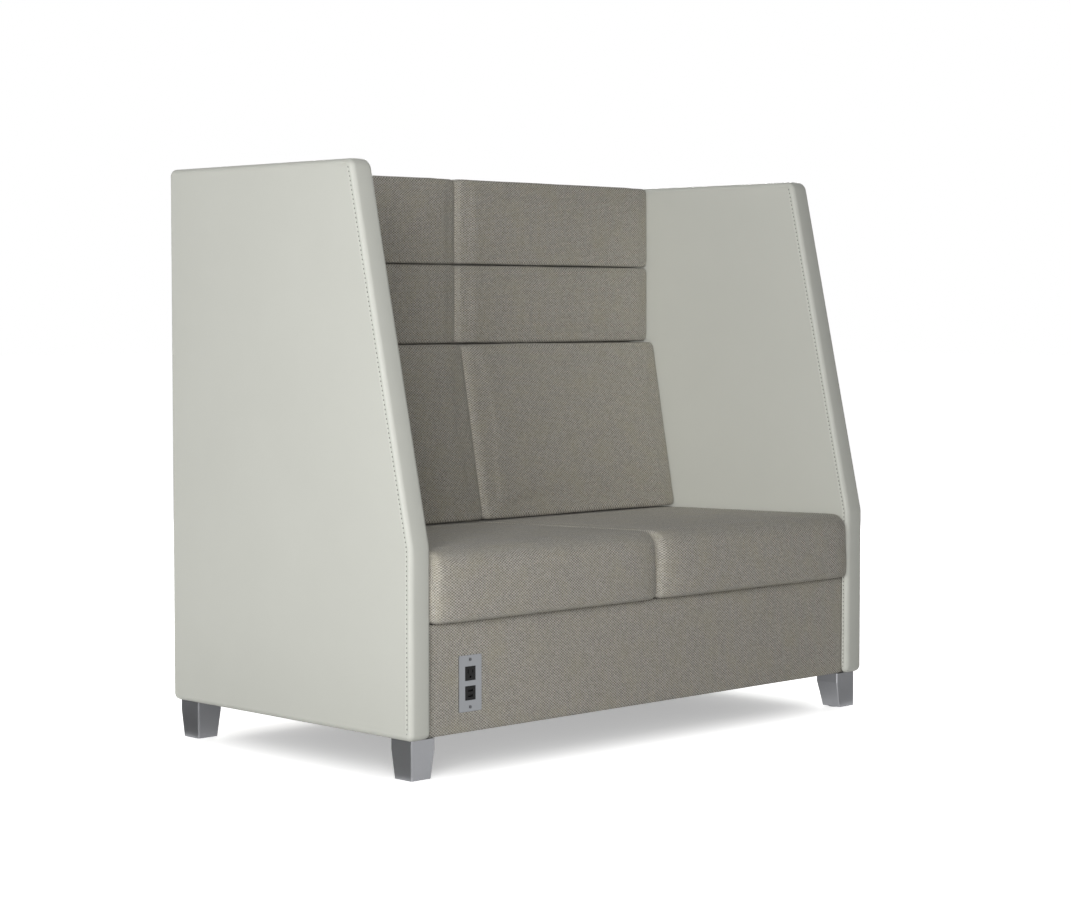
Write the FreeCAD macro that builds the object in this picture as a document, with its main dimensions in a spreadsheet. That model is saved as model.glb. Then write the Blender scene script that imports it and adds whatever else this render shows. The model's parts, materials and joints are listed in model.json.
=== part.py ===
"""High-backed two-seat booth sofa with side wings, as a parametric document.

Millimetres. The origin is on the floor at the middle of the sofa's box, +Z is up, +X is to the
right of someone who faces the sofa, and the sitter looks along -Y.

Paired pieces are modelled on the right, at positive X, and mirrored to the left.
"""
import FreeCAD, Part
import math
import os
import re

import Sketcher
from FreeCAD import Placement, Rotation, Vector

DRIVING = {
    # The whole sofa
    "overall_width": 1422,
    "overall_depth": 798,
    "overall_height": 1241,
    "cover_thickness": 2,
    "running_gap": 1.5,
    # Wings: a slanted upper front edge over an upright lower one
    "wing_thickness": 56,
    "wing_foam": 10.5,
    "wing_kink_height": 466,
    "wing_top_setback": 177,
    "wing_edge_radius": 12,
    "wing_nose_radius": 24,
    "wing_kink_radius": 40,
    "wing_corner_radius": 15,
    "wing_slot_margin": 20,
    # Back panel between the wings
    "back_inset": 3,
    "back_foam": 6,
    "back_board": 22,
    "back_drop": 11,
    # Base frame
    "rail_thickness": 25,
    "side_rail_thickness": 30,
    "centre_rail_top": 270,
    "deck_height": 302,
    "apron_setback": 16,
    "apron_padding": 6,
    "apron_lip": 8,
    "apron_radius": 4,
    "corner_block": 40,
    "corner_block_depth": 60,
    "corner_block_height": 60,
    "dust_cover_thickness": 1,
    "dust_cover_inset": 3,
    "dust_notch_gap": 2,
    "frame_bolt_head": 5,
    "frame_bolt_head_radius": 7,
    "frame_bolt_radius": 4,
    "wing_insert_radius": 6,
    "wing_insert_length": 14,
    "wing_bolt_margin": 150,
    "back_end_bolt_margin": 140,
    "foot_bolt_spacing": 320,
    "frame_bolt_length": 40,
    "wing_bolt_height": 230,
    "foot_bolt_height": 190,
    # Legs and glides
    "leg_height": 83,
    "leg_width": 63.5,
    "leg_foot": 53,
    "leg_collar": 22,
    "leg_inset": 12.5,
    "leg_edge_radius": 4,
    "leg_wall": 7,
    "leg_cavity": 45,
    "leg_boss_radius": 10,
    "leg_plate_thickness": 3,
    "leg_plate_length": 98,
    "leg_plate_depth": 44,
    "leg_plate_gap": 0.3,
    "plate_screw_margin": 12,
    "plate_screw_offset": 18,
    "plate_screw_radius": 2.2,
    "plate_screw_head": 4.5,
    "plate_screw_length": 24,
    "leg_stud_radius": 5,
    "leg_stud_length": 44,
    "leg_stud_depth": 30,
    "weld_nut_radius": 9.5,
    "weld_nut_height": 8,
    "weld_nut_room": 12,
    "glide_radius": 15,
    "glide_thickness": 2.2,
    "glide_gap": 0.3,
    "glide_stud_radius": 4,
    "glide_stud_length": 22,
    "glide_hole_depth": 26,
    # Seat cushions
    "seat_overhang": 8,
    "seat_depth": 698,
    "seat_bottom": 311,
    "seat_front_top": 461,
    "seat_rear_top": 444,
    "seat_nose_radius": 48,
    "seat_lip_radius": 20,
    "seat_end_radius": 18,
    "zip_height": 9,
    "zip_margin": 60,
    # Back cushions in three rows; the lumbar row leans back
    "cushion_front": 638,
    "lumbar_top_front": 617,
    "lumbar_foot_front": 540,
    "lumbar_bottom": 452,
    "lumbar_top": 857,
    "middle_top": 1042,
    "row_gap": 2,
    "cushion_radius": 14,
    "backer_thickness": 12,
    "cushion_bolt_margin": 120,
    "cushion_bolt_radius": 3,
    "cushion_bolt_head": 4,
    "cushion_bolt_head_radius": 6,
    "lumbar_bolt_reach": 130,
    "row_bolt_reach": 55,
    "insert_radius": 4.5,
    "insert_length": 10,
    # Seat suspension
    "spring_wire_radius": 1.9,
    "spring_pitch": 34,
    "spring_run": 26,
    "spring_spacing": 158,
    "springs_per_seat": 4,
    "clip_width": 18,
    "clip_depth": 14,
    "clip_height": 6,
    "deck_cloth_thickness": 1.5,
    "hook_strip_thickness": 1,
    "hook_strip_width": 50,
    "hook_strip_margin": 80,
    "hook_strip_setback": 120,
    # Power unit in the apron, left of the middle
    "power_centre": 538,
    "power_height": 183,
    "power_plate_width": 62,
    "power_plate_height": 115,
    "power_plate_thickness": 2,
    "power_plate_radius": 2,
    "power_module_width": 28,
    "power_module_height": 28.8,
    "power_module_depth": 40,
    "power_module_pitch": 40,
    "power_module_proud": 0.4,
    "power_module_slack": 0.2,
    "power_flange": 2,
    "power_flange_thickness": 1.5,
    "outlet_slot_depth": 14,
    "outlet_blade_offset": 6.35,
    "outlet_blade_rise": 4,
    "outlet_blade_width": 2.2,
    "outlet_neutral_height": 8.6,
    "outlet_live_height": 7,
    "outlet_earth_drop": 7,
    "outlet_earth_radius": 2.6,
    "port_width": 12.8,
    "port_height": 5.2,
    "port_offset": 5.5,
    "tongue_width": 11,
    "tongue_height": 1.8,
    "tongue_rise": 0.9,
    "tongue_setback": 1.5,
    "power_box_width": 44,
    "power_box_height": 90,
    "power_box_depth": 62,
    "power_box_wall": 2,
    "power_screw_pitch": 96.8,
    "power_screw_radius": 1.75,
    "power_screw_head": 3.2,
    "power_screw_head_height": 1,
    "power_screw_length": 20,
    "power_ear_reach": 5,
    "power_ear_gap": 1,
    "gland_radius": 6,
    "gland_collar_radius": 9,
    "gland_collar_length": 6,
    "gland_length": 17,
    "gland_grip": 5,
    "gland_bore_radius": 3.6,
    # Cutting tools run this far past the faces that they open
    "tool_overrun": 1,
}

# Lengths worked out from the driving dimensions
DERIVED = {
    "half_width": "overall_width / 2",
    "wing_front": "seat_overhang - overall_depth / 2",
    "wing_rear": "overall_depth / 2",
    "wing_inner": "half_width - wing_thickness",
    "wing_slope": "sqrt((overall_height - wing_kink_height)^2 + wing_top_setback^2)",
    "core_inner": "wing_inner + cover_thickness + wing_foam",
    "core_outer": "half_width - cover_thickness - wing_foam",
    "frame_bottom": "leg_height + leg_plate_thickness",
    "apron_front": "wing_front + apron_setback",
    "rail_front": "apron_front + apron_padding",
    "rail_back": "rail_front + rail_thickness",
    "back_rear": "wing_rear - back_inset - cover_thickness - back_foam",
    "back_front": "back_rear - back_board",
    "back_top": "overall_height - back_drop",
    "rear_rail_front": "back_front - rail_thickness",
    "side_rail_inner": "core_inner - side_rail_thickness",
    "apron_top": "deck_height + apron_lip",
    "leg_outer": "half_width - leg_inset",
    "leg_x": "leg_outer - leg_width / 2",
    "leg_bottom": "glide_thickness + glide_gap",
    "front_leg": "wing_front + leg_inset",
    "rear_leg": "wing_rear - leg_inset - leg_width",
    "front_leg_y": "front_leg + leg_width / 2",
    "rear_leg_y": "rear_leg + leg_width / 2",
    "plate_outer": "core_outer - leg_plate_gap",
    "plate_inner": "plate_outer - leg_plate_length",
    "seat_front": "-overall_depth / 2",
    "seat_rear": "seat_front + seat_depth",
    "seat_inner": "running_gap / 2",
    "seat_outer": "wing_inner - running_gap",
    "cushion_face": "wing_front + cushion_front",
    "lumbar_head": "wing_front + lumbar_top_front",
    "lumbar_foot": "wing_front + lumbar_foot_front",
    "backer_front": "back_front - backer_thickness",
    "clip_top": "deck_height + clip_height",
    "spring_height": "deck_height + clip_height / 2",
    "deck_top": "clip_top + deck_cloth_thickness",
    "power_plate_front": "apron_front - power_plate_thickness",
}

ORIGIN_POINT = (-1, 1)
BOX_EDGE = 0.001
SHORT_EDGE = 1
NUT_SIDES = 6

doc = FreeCAD.newDocument("booth_sofa")
sheet = doc.addObject("Spreadsheet::Sheet", "Dimensions")
for row, (alias, number) in enumerate(DRIVING.items(), start=1):
    sheet.set(f"A{row}", alias)
    sheet.set(f"B{row}", str(number))
    sheet.setAlias(f"B{row}", alias)
doc.recompute()

pieces = []


def formula(text):
    """Turns the names of dimensions in text into references to the sheet."""
    def swap(match):
        name = match.group()
        if name in DERIVED:
            return "(" + formula(DERIVED[name]) + ")"
        return "Dimensions." + name if name in DRIVING else name
    return re.sub(r"[a-z_]+", swap, text)


def size(alias):
    """Reads one driving dimension back from the sheet."""
    return float(sheet.get(alias))


def bind(item, **properties):
    """Binds properties of a document object to formulas."""
    for name, text in properties.items():
        item.setExpression(name, formula(text))
    return item


def place(item, x, y, z):
    """Binds where an object's own origin stands."""
    for axis, text in zip("xyz", (x, y, z)):
        item.setExpression(f"Placement.Base.{axis}", formula(text))
    return item


def keep(item, label):
    """Names a finished piece and puts it on the list of pieces to write."""
    item.Label = label
    pieces.append(item)
    return item


def box(name, x, y, z):
    """Makes a box from the low and high ends of its three sides."""
    item = doc.addObject("Part::Box", name)
    for side, (low, high) in zip(("Length", "Width", "Height"), (x, y, z)):
        item.setExpression(side, formula(f"({high}) - ({low})"))
    return place(item, x[0], y[0], z[0])


TURN = {
    "+x": Rotation(Vector(0, 1, 0), 90),
    "-x": Rotation(Vector(0, 1, 0), -90),
    "+y": Rotation(Vector(1, 0, 0), -90),
    "-y": Rotation(Vector(1, 0, 0), 90),
    "+z": Rotation(),
}


def rod(name, start, towards, radius, length):
    """Makes a cylinder that runs from a start point towards a named direction."""
    item = doc.addObject("Part::Cylinder", name)
    item.Placement = Placement(Vector(), TURN[towards])
    bind(item, Radius=radius, Height=length)
    return place(item, *start)


def shift(start, towards, distance):
    """Moves a start point along a named direction."""
    sign, axis = towards
    return tuple(f"{text} {sign} ({distance})" if axis == name else text
                 for name, text in zip("xyz", start))


def cut(name, base, tool):
    """Takes a tool away from a base."""
    item = doc.addObject("Part::Cut", name)
    item.Base = base
    item.Tool = tool
    return item


def common(name, base, tool):
    """Keeps what a base and a tool share."""
    item = doc.addObject("Part::Common", name)
    item.Base = base
    item.Tool = tool
    return item


def fuse(name, *items):
    """Joins several objects into one solid."""
    item = doc.addObject("Part::MultiFuse", name)
    item.Shapes = list(items)
    return item


def group(name, items):
    """Keeps several separate solids in one object."""
    item = doc.addObject("Part::Compound", name)
    item.Links = list(items)
    return item


def mirrored(name, source):
    """Makes the left-hand copy of a right-hand piece."""
    item = doc.addObject("Part::Mirroring", name)
    item.Source = source
    item.Base = Vector(0, 0, 0)
    item.Normal = Vector(1, 0, 0)
    return item


def keep_pair(right, label):
    """Keeps a right-hand piece and its left-hand copy as two pieces."""
    keep(mirrored(f"{right.Name}_mirrored", right), f"left_{label}")
    keep(right, f"right_{label}")


def bolt(name, start, towards, head_radius, head_length, radius, length):
    """Makes a headed bolt: the head begins at the start point and the shank follows it."""
    head = rod(f"{name}_head", start, towards, head_radius, head_length)
    shank_start = shift(start, towards, head_length)
    shank = rod(f"{name}_shank", shank_start, towards, radius, length)
    return fuse(name, head, shank)


def origin_plane(body, role):
    """Finds one of a body's own origin planes."""
    return next(plane for plane in body.Origin.OriginFeatures if plane.Role == role)


def sketch_on(body, name, role, offset):
    """Starts a sketch on one of a body's origin planes, moved along the plane's normal."""
    sketch = body.newObject("Sketcher::SketchObject", name)
    sketch.AttachmentSupport = (origin_plane(body, role), [""])
    sketch.MapMode = "FlatFace"
    sketch.setExpression("AttachmentOffset.Base.z", formula(offset))
    return sketch


def pin_point(sketch, geometry, point, across, up):
    """Holds a sketch point at formulas for its two coordinates."""
    here = sketch.getPoint(geometry, point)
    for kind, text, value in (("DistanceX", across, here.x), ("DistanceY", up, here.y)):
        rule = Sketcher.Constraint(kind, *ORIGIN_POINT, geometry, point, value)
        index = sketch.addConstraint(rule)
        sketch.setExpression(f"Constraints[{index}]", formula(text))


def draw_outline(sketch, points):
    """Draws a closed outline of straight lines through points given as formulas."""
    first = sketch.GeometryCount
    count = len(points)
    corners = [Vector(math.cos(turn), math.sin(turn), 0)
               for turn in (math.tau * step / count for step in range(count))]
    for step in range(count):
        line = Part.LineSegment(corners[step], corners[(step + 1) % count])
        sketch.addGeometry(line, False)
    for step in range(count):
        following = first + (step + 1) % count
        sketch.addConstraint(Sketcher.Constraint("Coincident", first + step, 2, following, 1))
    for step, (across, up) in enumerate(points):
        pin_point(sketch, first + step, 1, across, up)


def draw_circle(sketch, across, up, radius):
    """Draws a circle whose centre and radius are formulas."""
    index = sketch.addGeometry(Part.Circle(Vector(1, 1, 0), Vector(0, 0, 1), 1), False)
    pin_point(sketch, index, 3, across, up)
    rule = sketch.addConstraint(Sketcher.Constraint("Radius", index, 1))
    sketch.setExpression(f"Constraints[{rule}]", formula(radius))


def rectangle(x, y):
    """Lists the four corners of a rectangle from the low and high ends of its sides."""
    return [(x[0], y[0]), (x[1], y[0]), (x[1], y[1]), (x[0], y[1])]


def prism(name, x, outline):
    """Makes a body by padding a side outline, in Y and Z, across from a low to a high X."""
    body = doc.addObject("PartDesign::Body", name)
    sketch = sketch_on(body, f"{name}_outline", "YZ_Plane", x[0])
    draw_outline(sketch, outline)
    pad = body.newObject("PartDesign::Pad", f"{name}_pad")
    pad.Profile = sketch
    bind(pad, Length=f"({x[1]}) - ({x[0]})")
    doc.recompute()
    return body


def round_edges(body, radius, chosen):
    """Rounds the edges of a body's newest feature that a test of edge and box picks."""
    base = body.Tip
    whole = base.Shape.BoundBox
    names = [f"Edge{index}" for index, edge in enumerate(base.Shape.Edges, start=1)
             if chosen(edge.BoundBox, whole)]
    fillet = body.newObject("PartDesign::Fillet", f"{body.Name}_fillet")
    fillet.Base = (base, names)
    bind(fillet, Radius=radius)
    doc.recompute()


def same(first, second):
    """Says whether two coordinates agree."""
    return abs(first - second) < BOX_EDGE


def runs_across(edge):
    """Says whether an edge runs along X only."""
    return same(edge.YMin, edge.YMax) and same(edge.ZMin, edge.ZMax)


def at_an_end(edge, whole):
    """Says whether an edge lies in one of the two end faces."""
    low = same(edge.XMin, whole.XMin) and same(edge.XMax, whole.XMin)
    return low or (same(edge.XMin, whole.XMax) and same(edge.XMax, whole.XMax))


def wing_envelope(name, inset):
    """Makes a wing's outer form, drawn in by an inset on every side."""
    kink = f"wing_kink_height + ({inset}) * (overall_height - wing_kink_height - wing_slope)"
    kink += " / wing_top_setback"
    drop = f"(overall_height - ({inset}) - wing_kink_height) * wing_top_setback"
    nose = f"wing_front + (({inset}) * wing_slope + {drop}) / (overall_height - wing_kink_height)"
    front = f"wing_front + ({inset})"
    rear = f"wing_rear - ({inset})"
    top = f"overall_height - ({inset})"
    bottom = f"leg_height + ({inset})"
    outline = [(front, bottom), (rear, bottom), (rear, top), (nose, top), (front, kink)]
    body = prism(name, (f"wing_inner + ({inset})", f"half_width - ({inset})"), outline)

    def is_nose(edge, whole):
        return runs_across(edge) and same(edge.ZMin, whole.ZMax) and not same(edge.YMin, whole.YMax)

    def is_kink(edge, whole):
        low = same(edge.ZMin, whole.ZMin)
        return runs_across(edge) and same(edge.YMin, whole.YMin) and not low

    def is_square_corner(edge, whole):
        level = same(edge.ZMin, whole.ZMin) or same(edge.ZMin, whole.ZMax)
        upright = same(edge.YMin, whole.YMin) or same(edge.YMin, whole.YMax)
        return runs_across(edge) and level and upright

    round_edges(body, f"wing_nose_radius - ({inset})", is_nose)
    round_edges(body, f"wing_kink_radius - ({inset})", is_kink)
    round_edges(body, f"wing_corner_radius - ({inset})", is_square_corner)
    round_edges(body, f"wing_edge_radius - ({inset})", at_an_end)
    return body


# Tools that several pieces share

below_wing = "leg_height - tool_overrun"
below_frame = (below_wing, "frame_bottom")
core_span = ("core_inner", "core_outer")
slot_span = ("wing_front + wing_slot_margin", "wing_rear - wing_slot_margin")
wing_slot = box("wing_slot", core_span, slot_span, below_frame)

socket_span = ("wing_inner - tool_overrun", "core_inner")
base_socket = box("base_socket", socket_span, ("apron_front", "back_front"),
                  (below_wing, "apron_top"))
back_socket = box("back_socket", socket_span, ("back_front", "back_rear"),
                  (below_wing, "back_top"))
wing_openings = fuse("wing_openings", wing_slot, base_socket, back_socket)

LEG_ROWS = {"front": ("front_leg", "front_leg_y"), "rear": ("rear_leg", "rear_leg_y")}

# The weld nut of each leg plate stands in a pocket of the frame
nut_pockets = group("nut_pockets", [
    rod(f"nut_pocket_{end}", ("leg_x", middle, "frame_bottom"), "+z", "weld_nut_room",
        "weld_nut_room")
    for end, (_, middle) in LEG_ROWS.items()])

# Countersunk screws hold each leg plate to the wing core and to the base frame
PLATE_SCREW_COLUMNS = ("plate_outer - plate_screw_margin", "plate_inner + plate_screw_margin")


def plate_screw(name, x, y):
    """Makes one wood screw with its head flush with the underside of the leg plate."""
    head = doc.addObject("Part::Cone", f"{name}_head")
    bind(head, Radius1="plate_screw_head", Radius2="plate_screw_radius",
         Height="leg_plate_thickness")
    place(head, x, y, "leg_height")
    shank = rod(f"{name}_shank", (x, y, "frame_bottom"), "+z", "plate_screw_radius",
                "plate_screw_length")
    return fuse(name, head, shank)


right_plate_screws = group("right_plate_screws", [
    plate_screw(f"plate_screw_{end}_{column}_{step}", x, f"{middle} {sign} plate_screw_offset")
    for end, (_, middle) in LEG_ROWS.items()
    for column, x in enumerate(PLATE_SCREW_COLUMNS)
    for step, sign in enumerate("-+")])

# One size of bolt joins base to wings, wings to the ends of the back board, and back to base
WING_BOLT_PLACES = ("wing_front + wing_bolt_margin", "(wing_front + wing_rear) / 2",
                    "wing_rear - wing_bolt_margin")
BACK_END_HEIGHTS = ("deck_height", "(deck_height + overall_height - back_end_bolt_margin) / 2",
                    "overall_height - back_end_bolt_margin")
FOOT_BOLT_PLACES = ("foot_bolt_spacing / 2", "foot_bolt_spacing * 3 / 2")


def frame_bolt(name, start, towards):
    """Makes one frame bolt, its head beginning at the start point."""
    return bolt(name, start, towards, "frame_bolt_head_radius", "frame_bolt_head",
                "frame_bolt_radius", "frame_bolt_length")


right_wing_bolts = group("right_wing_bolts", [
    frame_bolt(f"wing_bolt_{index}",
               ("side_rail_inner - frame_bolt_head", y, "wing_bolt_height"), "+x")
    for index, y in enumerate(WING_BOLT_PLACES)])
right_wing_inserts = group("right_wing_inserts", [
    cut(f"wing_insert_{index}",
        rod(f"wing_insert_{index}_barrel", ("core_inner", y, "wing_bolt_height"), "+x",
            "wing_insert_radius", "wing_insert_length"),
        right_wing_bolts)
    for index, y in enumerate(WING_BOLT_PLACES)])
right_back_end_bolts = group("right_back_end_bolts", [
    frame_bolt(f"back_end_bolt_{index}", ("core_outer", "back_front + back_board / 2", z), "-x")
    for index, z in enumerate(BACK_END_HEIGHTS)])
right_foot_bolts = group("right_foot_bolts", [
    frame_bolt(f"foot_bolt_{index}", (x, "back_rear", "foot_bolt_height"), "-y")
    for index, x in enumerate(FOOT_BOLT_PLACES)])

# Wings: board core, two foam faces and a sewn cover

wing_outer_form = wing_envelope("wing_outer_form", "0")
wing_inner_form = wing_envelope("wing_inner_form", "cover_thickness")
core_slab = box("core_slab", core_span, ("wing_front", "wing_rear"), ("0", "overall_height"))
wing_board = common("wing_board", wing_inner_form, core_slab)
wing_drillings = group("wing_drillings", [
    wing_slot, nut_pockets, right_plate_screws, right_back_end_bolts])
right_wing_core = cut("wing_core_drilled", wing_board, wing_drillings)
for index, tool in enumerate((right_wing_bolts, right_wing_inserts)):
    right_wing_core = cut(f"wing_core_bored_{index}", right_wing_core, tool)
keep_pair(right_wing_core, "wing_core")

wing_foam_blank = cut("wing_foam_blank", wing_inner_form, core_slab)
keep_pair(cut("wing_foam_open", wing_foam_blank, wing_openings), "wing_foam")

wing_skin = cut("wing_skin", wing_outer_form, wing_inner_form)
keep_pair(cut("wing_cover_open", wing_skin, wing_openings), "wing_cover")

# Base frame

frame_span = ("-(core_inner)", "core_inner")
frame_rise = ("frame_bottom", "deck_height")
power_left = "-(power_centre)"


def power_block(name, width, y, height):
    """Makes a block centred on the power unit."""
    across = (f"{power_left} - ({width}) / 2", f"{power_left} + ({width}) / 2")
    up = (f"power_height - ({height}) / 2", f"power_height + ({height}) / 2")
    return box(name, across, y, up)


power_screws = group("power_screws", [
    bolt(f"power_screw_{index}",
         (power_left, "power_plate_front - power_screw_head_height", height), "+y",
         "power_screw_head", "power_screw_head_height", "power_screw_radius",
         "power_screw_length")
    for index, height in enumerate(("power_height - power_screw_pitch / 2",
                                    "power_height + power_screw_pitch / 2"))])

rail_window = power_block("rail_window", "power_box_width",
                          ("apron_front", "rail_back + tool_overrun"), "power_box_height")
plate_screws = group("plate_screws", [right_plate_screws,
                                      mirrored("left_plate_screws", right_plate_screws)])
all_nut_pockets = group("all_nut_pockets", [nut_pockets,
                                            mirrored("left_nut_pockets", nut_pockets)])

front_rail = box("front_rail_blank", frame_span, ("rail_front", "rail_back"), frame_rise)
for index, tool in enumerate((rail_window, power_screws, plate_screws, all_nut_pockets)):
    front_rail = cut(f"front_rail_cut_{index}", front_rail, tool)
keep(front_rail, "front_rail")

foot_bolts = group("foot_bolts", [right_foot_bolts,
                                  mirrored("left_foot_bolts", right_foot_bolts)])
rear_rail = box("rear_rail_blank", frame_span, ("rear_rail_front", "back_front"), frame_rise)
for index, tool in enumerate((foot_bolts, plate_screws, all_nut_pockets)):
    rear_rail = cut(f"rear_rail_cut_{index}", rear_rail, tool)
keep(rear_rail, "rear_rail")

side_rail = box("side_rail_blank", ("side_rail_inner", "core_inner"),
                ("rail_back", "rear_rail_front"), frame_rise)
for index, tool in enumerate((right_wing_bolts, nut_pockets)):
    side_rail = cut(f"side_rail_cut_{index}", side_rail, tool)
keep_pair(side_rail, "side_rail")

keep(box("centre_rail_blank", ("-rail_thickness / 2", "rail_thickness / 2"),
         ("rail_back", "rear_rail_front"), ("frame_bottom", "centre_rail_top")), "centre_rail")

block_span = ("side_rail_inner - corner_block", "side_rail_inner")
block_rise = ("frame_bottom", "frame_bottom + corner_block_height")
right_blocks = cut("right_blocks", group("right_block_blanks", [
    box("front_block", block_span, ("rail_back", "rail_back + corner_block_depth"), block_rise),
    box("rear_block", block_span, ("rear_rail_front - corner_block_depth", "rear_rail_front"),
        block_rise)]), right_plate_screws)
keep(group("corner_block_group", [right_blocks, mirrored("left_blocks", right_blocks)]),
     "corner_blocks")

dust_sheet = box("dust_sheet", frame_span,
                 ("rail_front + dust_cover_inset", "back_front - dust_cover_inset"),
                 ("frame_bottom - dust_cover_thickness", "frame_bottom"))
notch_span = ("plate_inner - dust_notch_gap", "half_width")
notch_reach = "leg_plate_depth / 2 + dust_notch_gap"
right_notches = group("right_notches", [
    box(f"notch_{end}", notch_span, (f"{middle} - ({notch_reach})", f"{middle} + ({notch_reach})"),
        ("leg_height", "deck_height"))
    for end, (_, middle) in LEG_ROWS.items()])
dust_notches = group("dust_notches", [right_notches, mirrored("left_notches", right_notches)])
keep(cut("dust_sheet_notched", dust_sheet, dust_notches), "dust_cover")

# Apron: a padded strip on the front rail that reaches up to the seat cushions
apron_form = prism("apron_form", frame_span, rectangle(("apron_front", "rail_front"),
                                                       ("leg_height", "apron_top")))
round_edges(apron_form, "apron_radius",
            lambda edge, whole: runs_across(edge) and same(edge.YMin, whole.YMin))
apron_window = power_block("apron_window", "power_box_width",
                           ("apron_front - tool_overrun", "rail_front + tool_overrun"),
                           "power_screw_pitch + 2 * (power_ear_reach + power_ear_gap)")
keep(cut("apron_cut", apron_form, apron_window), "front_apron")

# Back panel: board, rear foam and rear cover, the last two turned over the top edge

board_span = ("-(core_inner)", "core_inner")
back_board = box("back_board_blank", board_span, ("back_front", "back_rear"),
                 ("frame_bottom", "back_top"))
sheet_span = ("-(wing_inner)", "wing_inner")


def wrap(name, inner, outer, low):
    """Makes a layer over the back board's rear and top, between two depths of cover."""
    outline = [("back_front", f"back_top + {inner}"), (f"back_rear + {inner}", f"back_top + {inner}"),
               (f"back_rear + {inner}", low), (f"back_rear + {outer}", low),
               (f"back_rear + {outer}", f"back_top + {outer}"), ("back_front", f"back_top + {outer}")]
    return prism(name, sheet_span, outline)


keep(wrap("back_padding", "0", "back_foam", "frame_bottom"), "back_foam")
back_skin = wrap("back_skin", "back_foam", "(back_foam + cover_thickness)", "leg_height")
round_edges(back_skin, "cover_thickness / 2", lambda edge, whole: runs_across(edge)
            and same(edge.YMin, whole.YMax) and same(edge.ZMin, whole.ZMax))
keep(back_skin, "back_cover")

# Back cushions: cover, foam and backer board, each bolted through the back board


def cushion_envelope(name, low, high, foot, head, inset):
    """Makes a back cushion's form, drawn in by an inset except at its flat rear."""
    slope = f"(({head}) - ({foot})) / (({high}) - ({low}))"
    face_shift = f"({inset}) * sqrt(1 + ({slope})^2)"
    lift = f"({slope}) * ({inset})"
    outline = [(f"{foot} + {face_shift} + {lift}", f"{low} + ({inset})"),
               ("back_front", f"{low} + ({inset})"),
               ("back_front", f"{high} - ({inset})"),
               (f"{head} + {face_shift} - {lift}", f"{high} - ({inset})")]
    x = (f"seat_inner + ({inset})", f"seat_outer - ({inset})")
    body = prism(name, x, outline)

    def off_the_rear(edge, whole):
        return not same(edge.YMin, whole.YMax)

    round_edges(body, f"cushion_radius - ({inset})", off_the_rear)
    return body


ROWS = {
    "lumbar": ("lumbar_bottom", "lumbar_top", "lumbar_foot", "lumbar_head", "lumbar_bolt_reach"),
    "middle": ("lumbar_top + row_gap", "middle_top", "cushion_face", "cushion_face", "row_bolt_reach"),
    "upper": ("middle_top + row_gap", "overall_height", "cushion_face", "cushion_face", "row_bolt_reach"),
}
BOLT_COLUMNS = ("seat_inner + cushion_bolt_margin", "seat_outer - cushion_bolt_margin")

right_backers = []
right_cushion_bolts = []
right_inserts = []
for row, (low, high, foot, head, reach) in ROWS.items():
    middle = f"(({low}) + ({high})) / 2"
    places = [(x, f"{middle} {sign} {reach}") for x in BOLT_COLUMNS for sign in "-+"]
    bolts = group(f"{row}_bolts", [
        bolt(f"{row}_bolt_{index}", (x, "back_rear", z), "-y", "cushion_bolt_head_radius",
             "cushion_bolt_head", "cushion_bolt_radius",
             "back_board - cushion_bolt_head + insert_length")
        for index, (x, z) in enumerate(places)])
    barrels = group(f"{row}_barrels", [
        rod(f"{row}_barrel_{index}", (x, "back_front", z), "-y", "insert_radius", "insert_length")
        for index, (x, z) in enumerate(places)])
    right_cushion_bolts.append(bolts)
    right_inserts.append(cut(f"{row}_inserts", barrels, bolts))

    outer_form = cushion_envelope(f"{row}_outer_form", low, high, foot, head, "0")
    inner_form = cushion_envelope(f"{row}_inner_form", low, high, foot, head, "cover_thickness")
    keep_pair(cut(f"{row}_cover", outer_form, inner_form), f"{row}_cushion_cover")
    backer_slab = box(f"{row}_backer_slab", ("0", "half_width"), ("backer_front", "back_front"),
                      ("0", "overall_height"))
    keep_pair(cut(f"{row}_foam", inner_form, backer_slab), f"{row}_cushion_foam")
    backer = common(f"{row}_backer_blank", inner_form, backer_slab)
    right_backers.append(cut(f"{row}_backer", backer, barrels))


def both_sides(name, items):
    """Groups right-hand items with their left-hand copies."""
    right = group(f"right_{name}", items)
    return group(name, [right, mirrored(f"left_{name}", right)])


keep(both_sides("backer_boards", right_backers), "cushion_backers")
cushion_bolts = keep(both_sides("cushion_bolt_group", right_cushion_bolts), "cushion_bolts")
keep(both_sides("insert_group", right_inserts + [right_wing_inserts]), "threaded_inserts")
frame_bolts = keep(both_sides("frame_bolt_group", [
    right_wing_bolts, right_back_end_bolts, right_foot_bolts]), "frame_bolts")
for index, tool in enumerate((cushion_bolts, frame_bolts, plate_screws)):
    back_board = cut(f"back_board_cut_{index}", back_board, tool)
keep(back_board, "back_panel_board")

# Seat cushions: cover, foam and the zip along the rear


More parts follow.
